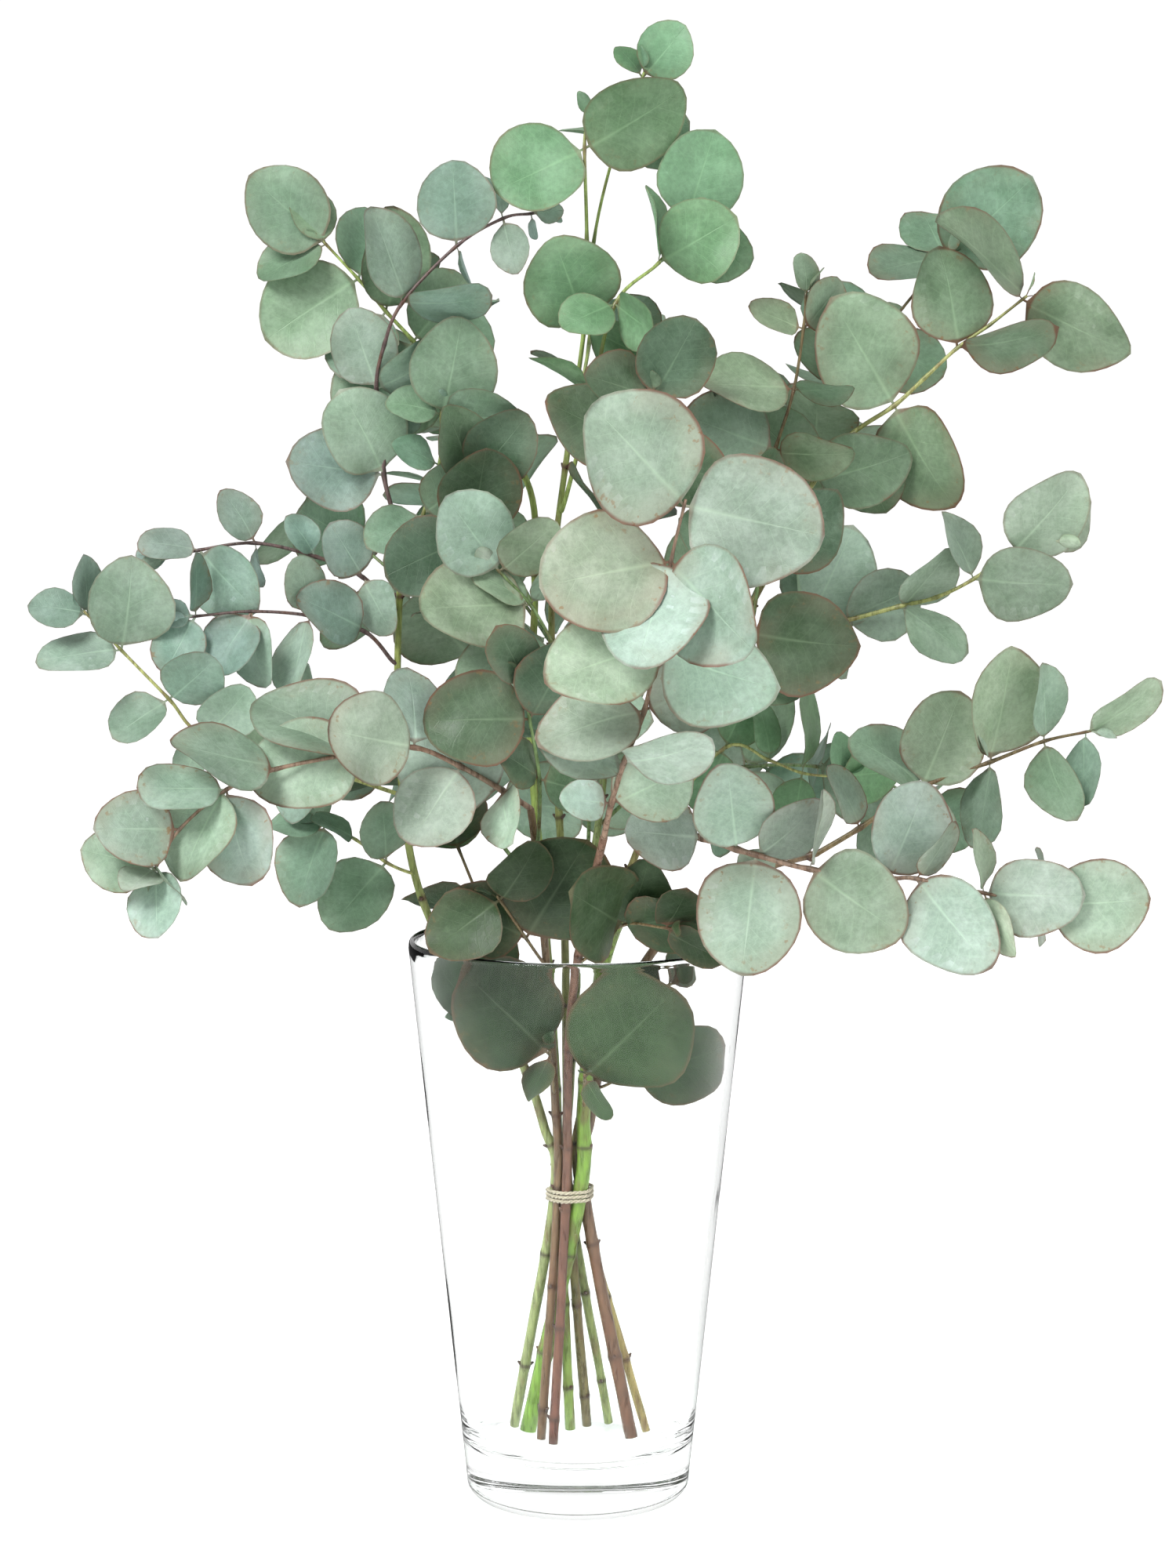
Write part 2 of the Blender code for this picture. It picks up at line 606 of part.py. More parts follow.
def twig_start(parent, first, second, radius):
    """Where a twig can begin: on the way from the stem to its second joint, just clear of the stem's bark."""
    line, radii = parent
    _, place, foot = nearest(line, first)
    way = unit(second - foot)
    if place >= 0.999:
        bend = np.linalg.norm(np.cross(way, unit(line[-1] - line[-2])))
        return foot + way * (END_GAP * CM + radii[-1] * bend)
    i = min(int(place * (len(line) - 1)), len(line) - 2)
    lean = abs(float(way @ unit(line[i + 1] - line[i])))
    need = radii[i] + NODE_GAP * CM + radius * lean
    reach = 0.0
    while nearest(line, foot + way * reach)[0] < need:
        reach += 0.0002
    return foot + way * reach


def shoot_lines(stems):
    """Each shoot's name to its twig's centre line, radii, joints and the leaves at each joint."""
    shoots = {}
    for name, parent, radius, rows in SHOOTS:
        joints = np.array([row[:3] for row in rows]) * CM
        joints[0] = twig_start(stems[parent], joints[0], joints[1], radius * CM)
        tip = joints[-1] + unit(joints[-1] - joints[-2]) * TWIG_OVERRUN * CM
        line = np.vstack([smooth_line(joints, TWIG_PER_SPAN), tip])
        radii = np.linspace(radius, TWIG_TIP_RADIUS, len(line)) * CM
        shoots[name] = (line, radii, joints, [row[3] for row in rows])
    return shoots


def aimed(clock, lean, roll):
    """A leaf's axis and face from its clock, lean and roll. With no roll it shows its face to the front."""
    c, l, r = np.radians([clock, lean, roll])
    axis = np.array([math.cos(l) * math.cos(c), -math.sin(l), math.cos(l) * math.sin(c)])
    front = np.array([0.0, -1.0, 0.0])
    face = unit(front - (front @ axis) * axis)
    return axis, face * math.cos(r) + np.cross(axis, face) * math.sin(r)


def paired(line, joint, turn):
    """The axes and faces of an opposite pair of leaves on a twig, turned round it by that many degrees."""
    _, place, _ = nearest(line, joint)
    i = min(int(place * (len(line) - 1)), len(line) - 2)
    ahead = unit(line[i + 1] - line[i])
    right = unit(np.cross(ahead, (0.0, -1.0, 0.05)))
    back = np.cross(ahead, right)
    t, s = math.radians(turn), math.radians(PAIR_SPREAD)
    out = right * math.cos(t) + back * math.sin(t)
    both = []
    for way in (out, -out):
        both.append((way * math.sin(s) + ahead * math.cos(s), ahead * math.sin(s) - way * math.cos(s)))
    return both


def blade(u, v, leaf):
    """The leaf's middle surface for u across and v along, from -1 to 1: (x, y, z) with y from stalk to tip.

    It is a disc stretched to the leaf's length and width, folded along its midrib, bent back and twisted.
    """
    length, width, fold, bend, twist, egg = leaf
    k = (v + 1) / 2
    x = 0.5 * width * u * (1 - egg * v)
    y = PETIOLE * CM + length * k
    z = fold * np.sqrt(x**2 + (0.12 * width) ** 2) - bend * length * k**2 + twist * x * k
    return x, y, z - fold * 0.12 * width


def leaf_traits(length, rng):
    """A leaf's size and shape from its length in centimetres: (length, width, fold, bend, twist, egg)."""
    ratio, fold, bend, twist, egg = rng.uniform(*TRAIT_RANGE)
    return length * CM, length * CM * ratio, fold, bend, twist, egg


def placed(x, y, z, root, axis, face):
    """A leaf's own x, y and z set at its root: y along its axis, z along its face."""
    side = np.cross(axis, face)
    return root + x[..., None] * side + y[..., None] * axis + z[..., None] * face


def rim_grid():
    """u and v of the coarse leaf: the middle, then the rim from its tip round to its stalk and back."""
    angle = np.arange(LEAF_RIM_POINTS) * TURN / LEAF_RIM_POINTS
    return np.append(0.0, -np.sin(angle)), np.append(0.0, np.cos(angle))


def slab(root, axis, face, leaf, spare):
    """Points and faces of the coarse leaf as a slab, wider on every side by spare."""
    u, v = rim_grid()
    p = placed(*blade(u, v, leaf), root, axis, face)
    p[1 + LEAF_RIM_POINTS // 2] = root
    p = p[0] + (p - p[0]) * (1 + 2 * spare / leaf[1])
    half = 0.5 * LEAF_THICKNESS * CM + spare
    k = np.arange(LEAF_RIM_POINTS)
    after = (k + 1) % LEAF_RIM_POINTS
    n = LEAF_RIM_POINTS + 1
    top = np.stack([k * 0, k + 1, after + 1], axis=1)
    near = np.stack([k + 1, k + 1 + n, after + 1], axis=1)
    far = np.stack([after + 1, k + 1 + n, after + 1 + n], axis=1)
    return np.vstack([p + face * half, p - face * half]), np.vstack([top, top + n, near, far])


class Crowd:
    """What already stands in a leaf's way: closed shells, each with a ball round it for a quick test."""

    def __init__(self):
        self.middles = []
        self.reaches = []
        self.trees = []
        self.owners = []

    def add(self, points, faces, owner):
        """One more shell."""
        middle = (points.min(0) + points.max(0)) / 2
        self.middles.append(middle)
        self.reaches.append(np.linalg.norm(points - middle, axis=1).max())
        self.trees.append(BVHTree.FromPolygons(points.tolist(), faces.tolist()))
        self.owners.append(owner)

    def meets(self, points, faces, spare_owner, root):
        """True if a shell crosses any other, leaving out its own joint and its own twig close to its root."""
        middle = (points.min(0) + points.max(0)) / 2
        reach = np.linalg.norm(points - middle, axis=1).max()
        apart = np.linalg.norm(np.array(self.middles) - middle, axis=1)
        tree = BVHTree.FromPolygons(points.tolist(), faces.tolist())
        for i in np.flatnonzero(apart < reach + np.array(self.reaches)):
            owner = self.owners[i]
            if owner == spare_owner:
                continue
            close = np.linalg.norm(self.middles[i] - root) < self.reaches[i] + CROSSING_SKIN * CM
            if owner == spare_owner[:1] and close:
                continue
            if tree.overlap(self.trees[i]):
                return True
        return False


def ways_aside():
    """What a leaf tries in turn: swing and lift in degrees and a share of its length, small changes first."""
    ways = [(0.0, 0.0, 1.0)]
    for share in (1.0, 0.9, 0.8, 0.7, 0.6):
        for far in (9.0, 18.0, 27.0, 38.0, 50.0):
            for k in range(8):
                ways.append((far * math.cos(k * TURN / 8), far * math.sin(k * TURN / 8), share))
    return ways


def settle(name, joint, root, axis, face, leaf, crowd, ways):
    """The first way aside in which the leaf touches nothing: (axis, face, leaf), or None if there is none."""
    side = np.cross(axis, face)
    for swing, lift, share in ways:
        new_axis = unit(axis + side * math.tan(math.radians(swing)) + face * math.tan(math.radians(lift)))
        new_face = unit(face - (face @ new_axis) * new_axis)
        new_leaf = (leaf[0] * share, leaf[1] * share, *leaf[2:])
        points, faces = slab(root, new_axis, new_face, new_leaf, LEAF_CLEARANCE * CM)
        if not crowd.meets(points, faces, (name, joint), root):
            return new_axis, new_face, new_leaf
    return None


def vase_profile():
    """The vase's outline in metres, from the middle of its inner floor over the rim to that of its bottom."""
    return np.array(VASE_INSIDE + VASE_RIM + VASE_OUTSIDE) * CM


def vase_shell():
    """Points and quads of the vase's surface, as something for leaves to stay clear of."""
    profile = vase_profile()
    angle = np.arange(VASE_STEPS) * TURN / VASE_STEPS
    x = profile[:, 0][:, None] * np.cos(angle)
    y = profile[:, 0][:, None] * np.sin(angle)
    z = np.repeat(profile[:, 1][:, None], VASE_STEPS, axis=1)
    first = np.arange(len(profile) - 1)[:, None] * VASE_STEPS
    k = np.arange(VASE_STEPS)[None, :]
    after = (k + 1) % VASE_STEPS
    quads = np.stack([first + k, first + after, first + VASE_STEPS + after, first + VASE_STEPS + k], axis=-1)
    return np.stack([x, y, z], axis=-1).reshape(-1, 3), quads.reshape(-1, 4)


def grow(stems, shoots):
    """Every leaf as (shoot, joint, root, axis, face, leaf), set largest first so that none crosses others."""
    rng = np.random.default_rng(SEED)
    crowd = Crowd()
    crowd.add(*vase_shell(), ("vase",))
    for name, (line, radii) in stems.items():
        for i in range(len(line) - 1):
            crowd.add(*tube(line[i : i + 2], radii[i : i + 2], 6), (name,))
    for name, (line, radii, _, _) in shoots.items():
        for i in range(len(line) - 1):
            crowd.add(*tube(line[i : i + 2], radii[i : i + 2], 6), (name,))
    wanted = []
    for name, (line, _, joints, leaf_rows) in shoots.items():
        for joint, rows in enumerate(leaf_rows):
            for row in rows:
                posed = paired(line, joints[joint], row[1]) if len(row) == 2 else [aimed(*row[1:])]
                for axis, face in posed:
                    wanted.append((row[0], name, joint, joints[joint], axis, face, leaf_traits(row[0], rng)))
    wanted.sort(key=lambda row: -row[0])
    ways = ways_aside()
    leaves = []
    for _, name, joint, point, axis, face, leaf in wanted:
        root = point - axis * LEAF_ROOT * CM
        found = settle(name, joint, root, axis, face, leaf, crowd, ways)
        if found:
            crowd.add(*slab(root, *found, 0.0), (name, joint))
            leaves.append((name, joint, root, *found))
    return leaves


def clear_scene():
    """Removes what the scene starts with."""
    for obj in list(bpy.data.objects):
        bpy.data.objects.remove(obj, do_unlink=True)


def new_collection(name, hidden):
    """A collection in the scene, for parts or for hidden helpers."""
    made = bpy.data.collections.new(name)
    made.hide_render = hidden
    bpy.context.scene.collection.children.link(made)
    return made


def new_material(name, colour, roughness, metallic=0.0):
    """A plain Principled material."""
    made = bpy.data.materials.new(name)
    made.use_nodes = True
    shader = made.node_tree.nodes["Principled BSDF"]
    shader.inputs["Base Color"].default_value = (*colour, 1.0)
    shader.inputs["Roughness"].default_value = roughness
    shader.inputs["Metallic"].default_value = metallic
    made.diffuse_color = (*colour, 1.0)
    return made


def new_object(name, mesh, collection, material):
    """An object of that mesh in the collection, with its material."""
    made = bpy.data.objects.new(name, mesh)
    made.data.name = name
    made.data.materials.clear()
    made.data.materials.append(material)
    collection.objects.link(made)
    return made


def mesh_of_curve(curve, name):
    """The mesh of a bevelled curve with its caps joined on, the curve itself removed."""
    bpy.context.scene.collection.objects.link(curve)
    shown = curve.evaluated_get(bpy.context.evaluated_depsgraph_get())
    mesh = bpy.data.meshes.new_from_object(shown)
    mesh.transform(curve.matrix_world)
    mesh.name = name
    data = curve.data
    bpy.data.objects.remove(curve, do_unlink=True)
    bpy.data.curves.remove(data)
    bm = bmesh.new()
    bm.from_mesh(mesh)
    bmesh.ops.remove_doubles(bm, verts=bm.verts, dist=0.00002)
    bmesh.ops.recalc_face_normals(bm, faces=bm.faces)
    bm.to_mesh(mesh)
    bm.free()
    mesh.shade_smooth()
    mesh.set_sharp_from_angle(angle=math.radians(SMOOTH_BELOW))
    return mesh


def round_bar(name, line, radii, sides):
    """The mesh of a round bar along a line, thick as radii says at each point, with flat ends."""
    curve = bpy.data.curves.new(name, "CURVE")
    curve.dimensions = "3D"
    curve.bevel_depth = 1.0
    curve.bevel_resolution = (sides - 4) // 2
    curve.use_fill_caps = True
    spline = curve.splines.new("POLY")
    spline.points.add(len(line) - 1)
    spline.points.foreach_set("co", np.hstack([line, np.ones((len(line), 1))]).ravel())
    spline.points.foreach_set("radius", radii)
    return mesh_of_curve(bpy.data.objects.new(name, curve), name)


def build_vase(parts, glass):
    """The glass vase, its outline turned once round."""
    profile = vase_profile()
    mesh = bpy.data.meshes.new("glass_vase")
    edges = [(i, i + 1) for i in range(len(profile) - 1)]
    mesh.from_pydata([(x, 0.0, z) for x, z in profile], edges, [])
    vase = new_object("glass_vase", mesh, parts, glass)
    screw = vase.modifiers.new("turned", "SCREW")
    screw.axis = "Z"
    screw.steps = VASE_STEPS
    screw.render_steps = VASE_STEPS
    screw.use_merge_vertices = True
    screw.merge_threshold = 0.00001
    screw.use_smooth_shade = True
    screw.use_normal_calculate = True


def build_tie(parts, twine):
    """The twine, coiled round the bundle."""
    count = int(TIE_TURNS * TIE_STEPS_A_TURN) + 1
    turns = np.linspace(0, TIE_TURNS, count)
    middle = np.array(TIE_MIDDLE)
    x = middle[0] + TIE_RADIUS * np.cos(turns * TURN)
    y = middle[1] + TIE_RADIUS * np.sin(turns * TURN)
    z = middle[2] + (turns - TIE_TURNS / 2) * TIE_PITCH
    line = np.stack([x, y, z], axis=1) * CM
    mesh = round_bar("string_tie", line, np.full(count, TWINE_RADIUS * CM), 6)
    new_object("string_tie", mesh, parts, twine)


def build_stems(stems, parts, bark):
    """The nine woody stems."""
    for name, (line, radii) in stems.items():
        new_object(name, round_bar(name, line, radii, BARK_SIDES), parts, bark)


def leaf_object(name, root, axis, face, leaf, helpers, material):
    """One leaf: a round of triangles shaped by the blade's formula, its stalk end in the twig, thickened."""
    bm = bmesh.new()
    bmesh.ops.create_circle(bm, cap_ends=True, cap_tris=True, segments=LEAF_RIM_POINTS, radius=1.0)
    bm.verts.ensure_lookup_table()
    flat = np.array([vert.co[:] for vert in bm.verts])
    shaped = placed(*blade(flat[:, 0], flat[:, 1], leaf), root, axis, face)
    shaped[flat[:, 1].argmin()] = root
    for vert, point in zip(bm.verts, shaped):
        vert.co = point
    bmesh.ops.recalc_face_normals(bm, faces=bm.faces)
    mesh = bpy.data.meshes.new(name)
    bm.to_mesh(mesh)
    bm.free()
    made = new_object(name, mesh, helpers, material)
    made.display_type = "WIRE"
    made.hide_render = True
    solid = made.modifiers.new("thickness", "SOLIDIFY")
    solid.thickness = LEAF_THICKNESS * CM
    solid.offset = 0.0
    return made


def build_shoots(shoots, leaves, parts, material):
    """Each leafy shoot: its twig, joined with its leaves into one closed body."""
    for name, (line, radii, _, _) in shoots.items():
        twig = new_object(name, round_bar(name, line, radii, TWIG_SIDES), parts, material)
        helpers = new_collection(name + "_leaves", True)
        own = [row for row in leaves if row[0] == name]
        for k, (_, _, root, axis, face, leaf) in enumerate(own):
            leaf_object(f"{name}_leaf_{k}", root, axis, face, leaf, helpers, material)
        union = twig.modifiers.new("leaves", "BOOLEAN")
        union.operation = "UNION"
        union.solver = "EXACT"
        union.operand_type = "COLLECTION"
        union.collection = helpers


def main():
    """Builds every part."""
    clear_scene()
    parts = new_collection("eucalyptus_bunch", False)
    glass = new_material("glass", (0.86, 0.90, 0.88), 0.04)
    twine = new_material("twine", (0.78, 0.72, 0.58), 0.90)
    bark = new_material("bark", (0.33, 0.33, 0.16), 0.60)
    foliage = new_material("leaf", (0.33, 0.43, 0.33), 0.55)
    stems = stem_lines()
    shoots = shoot_lines(stems)
    leaves = grow(stems, shoots)
    build_vase(parts, glass)
    build_tie(parts, twine)
    build_stems(stems, parts, bark)
    build_shoots(shoots, leaves, parts, foliage)


main()
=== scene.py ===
# %% [markdown]
# # A tied bunch of eucalyptus in a glass vase
#
# The object is nine cut stems of silver-leaf eucalyptus, held by a few turns of twine and standing in a clear,
# tapered vase with a thick base. Round, waxy leaves sit in opposite pairs along thin shoots.
#
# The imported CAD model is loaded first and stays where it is. Every piece made here stands for one of its nodes, so
# the fine surfaces must grow in exactly the same places. A plant's places follow a rule: where the joints of each
# shoot are, which way each leaf points, and how a leaf turns aside when something is in its way. The rule is
# repeated here, and only the surfaces it carries are finer.

import math

import bpy
import numpy as np
from mathutils.bvhtree import BVHTree
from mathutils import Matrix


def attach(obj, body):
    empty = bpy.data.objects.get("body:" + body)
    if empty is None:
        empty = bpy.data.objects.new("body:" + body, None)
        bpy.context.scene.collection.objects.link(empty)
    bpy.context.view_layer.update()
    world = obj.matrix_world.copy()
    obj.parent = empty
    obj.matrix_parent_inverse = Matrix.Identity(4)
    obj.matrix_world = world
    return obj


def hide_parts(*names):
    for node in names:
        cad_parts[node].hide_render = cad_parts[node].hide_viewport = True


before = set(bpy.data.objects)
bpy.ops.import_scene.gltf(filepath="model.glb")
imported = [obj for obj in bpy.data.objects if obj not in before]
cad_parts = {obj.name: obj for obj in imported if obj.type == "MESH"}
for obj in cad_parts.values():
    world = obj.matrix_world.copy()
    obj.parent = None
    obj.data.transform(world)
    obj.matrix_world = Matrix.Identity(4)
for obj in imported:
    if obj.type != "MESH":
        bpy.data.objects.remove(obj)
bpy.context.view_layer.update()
scene = bpy.context.scene

# %% Units
CM = 0.01
TURN = 2 * math.pi

# %% [markdown]
# ## The camera
#
# The bunch is seen from the front and a little above, from about a metre and a half, with a long lens. A long lens
# keeps the vase's sides almost straight and the rim a shallow ellipse. The camera is made before anything else, so
# that each piece can be judged in its frame as soon as it is there.

# %% Camera
CAMERA_PLACE = (0.0045, -1.53, 0.481)
CAMERA_DIP = 6.08
CAMERA_LENS = 80.6

camera_data = bpy.data.cameras.new("front_view")
camera_data.lens = CAMERA_LENS
camera_data.sensor_width = 36.0
camera_data.clip_start = 0.05
camera_data.clip_end = 60.0
camera = bpy.data.objects.new("front_view", camera_data)
camera.location = CAMERA_PLACE
camera.rotation_euler = (math.radians(90.0 - CAMERA_DIP), 0.0, 0.0)
scene.collection.objects.link(camera)
scene.camera = camera
print("camera", CAMERA_PLACE, "dips", CAMERA_DIP, "degrees")

# %% [markdown]
# ## Where the plant grows
#
# A gardener would describe the bunch stem by stem: where a stem is cut, where it crosses the tie, how it leans out
# over the rim, and which shoots leave it. That description is the table below. Drawing every leaf by hand would be
# the other way, but a table of joints and a rule for leaves is shorter, and a change of one joint moves its leaves.

# %% The stems and the shoots
# Centimetres. A stem's row is name, radius at the cut end and at the top, and the joints of its centre line.
STEMS = (
    ("stem_1", 0.235, 0.14, (
        (-2.9, 1.9, 2.45), (-1.04, 0.03, 13.6), (-1.5, 0.0, 16.6), (-2.6, -0.3, 19.8), (-4.5, -0.8, 23.0),
        (-6.2, -0.9, 25.4), (-7.3, -1.0, 28.8), (-7.8, -0.8, 34.0), (-7.8, -0.5, 38.5), (-7.6, -0.3, 42.3),
    )),
    ("stem_2", 0.37, 0.21, (
        (-2.25, 0.8, 2.55), (0.07, -0.44, 13.6), (0.25, -0.8, 17.5), (0.6, -1.8, 21.5), (1.5, -3.9, 25.6),
        (3.0, -6.3, 28.9), (4.2, -7.4, 30.5),
    )),
    ("stem_3", 0.21, 0.16, (
        (-1.65, -0.5, 2.4), (-0.89, -0.41, 13.6), (-1.0, -0.8, 18.0), (-1.3, -2.0, 23.5), (-1.8, -3.8, 29.5),
        (-2.0, -4.2, 31.2),
    )),
    ("stem_4", 0.22, 0.17, (
        (-1.1, -1.4, 2.4), (-0.51, -0.68, 13.6), (-0.45, -1.2, 17.5), (-0.3, -2.5, 22.0), (0.3, -5.6, 26.6),
        (1.1, -9.5, 30.6),
    )),
    ("stem_5", 0.235, 0.13, (
        (-0.35, 1.6, 2.4), (-0.84, 0.47, 13.6), (-1.0, 0.8, 19.0), (-1.5, 1.5, 26.0), (-2.1, 2.1, 34.0),
        (-1.9, 2.2, 40.0), (-2.1, 2.1, 44.6), (-4.2, 2.0, 47.6),
    )),
    ("stem_6", 0.22, 0.13, (
        (0.4, 2.2, 2.4), (-0.42, 0.1, 13.6), (-0.5, 0.1, 19.0), (-0.6, 0.3, 26.0), (-1.0, 0.3, 34.0),
        (-1.1, 0.2, 40.7), (-0.3, 0.2, 47.4),
    )),
    ("stem_7", 0.21, 0.15, (
        (1.4, 2.6, 2.4), (-0.41, 0.64, 13.6), (-0.35, 1.3, 18.0), (0.1, 3.0, 24.0), (1.0, 6.0, 30.0),
        (1.6, 8.0, 36.0), (1.8, 9.5, 42.0),
    )),
    ("stem_8", 0.29, 0.15, (
        (2.4, -0.6, 2.5), (0.27, 0.15, 13.6), (0.55, 0.0, 17.0), (1.3, -0.1, 20.5), (3.0, -0.3, 24.0),
        (5.0, -0.6, 26.3), (7.6, -1.1, 28.0), (10.4, -2.0, 29.0),
    )),
    ("stem_9", 0.2, 0.14, (
        (3.1, 0.9, 2.4), (0.06, 0.62, 13.6), (0.3, 1.0, 18.0), (1.3, 1.8, 24.5), (3.6, 2.3, 31.0), (6.4, 2.5, 37.0),
        (9.0, 2.4, 42.0),
    )),
)

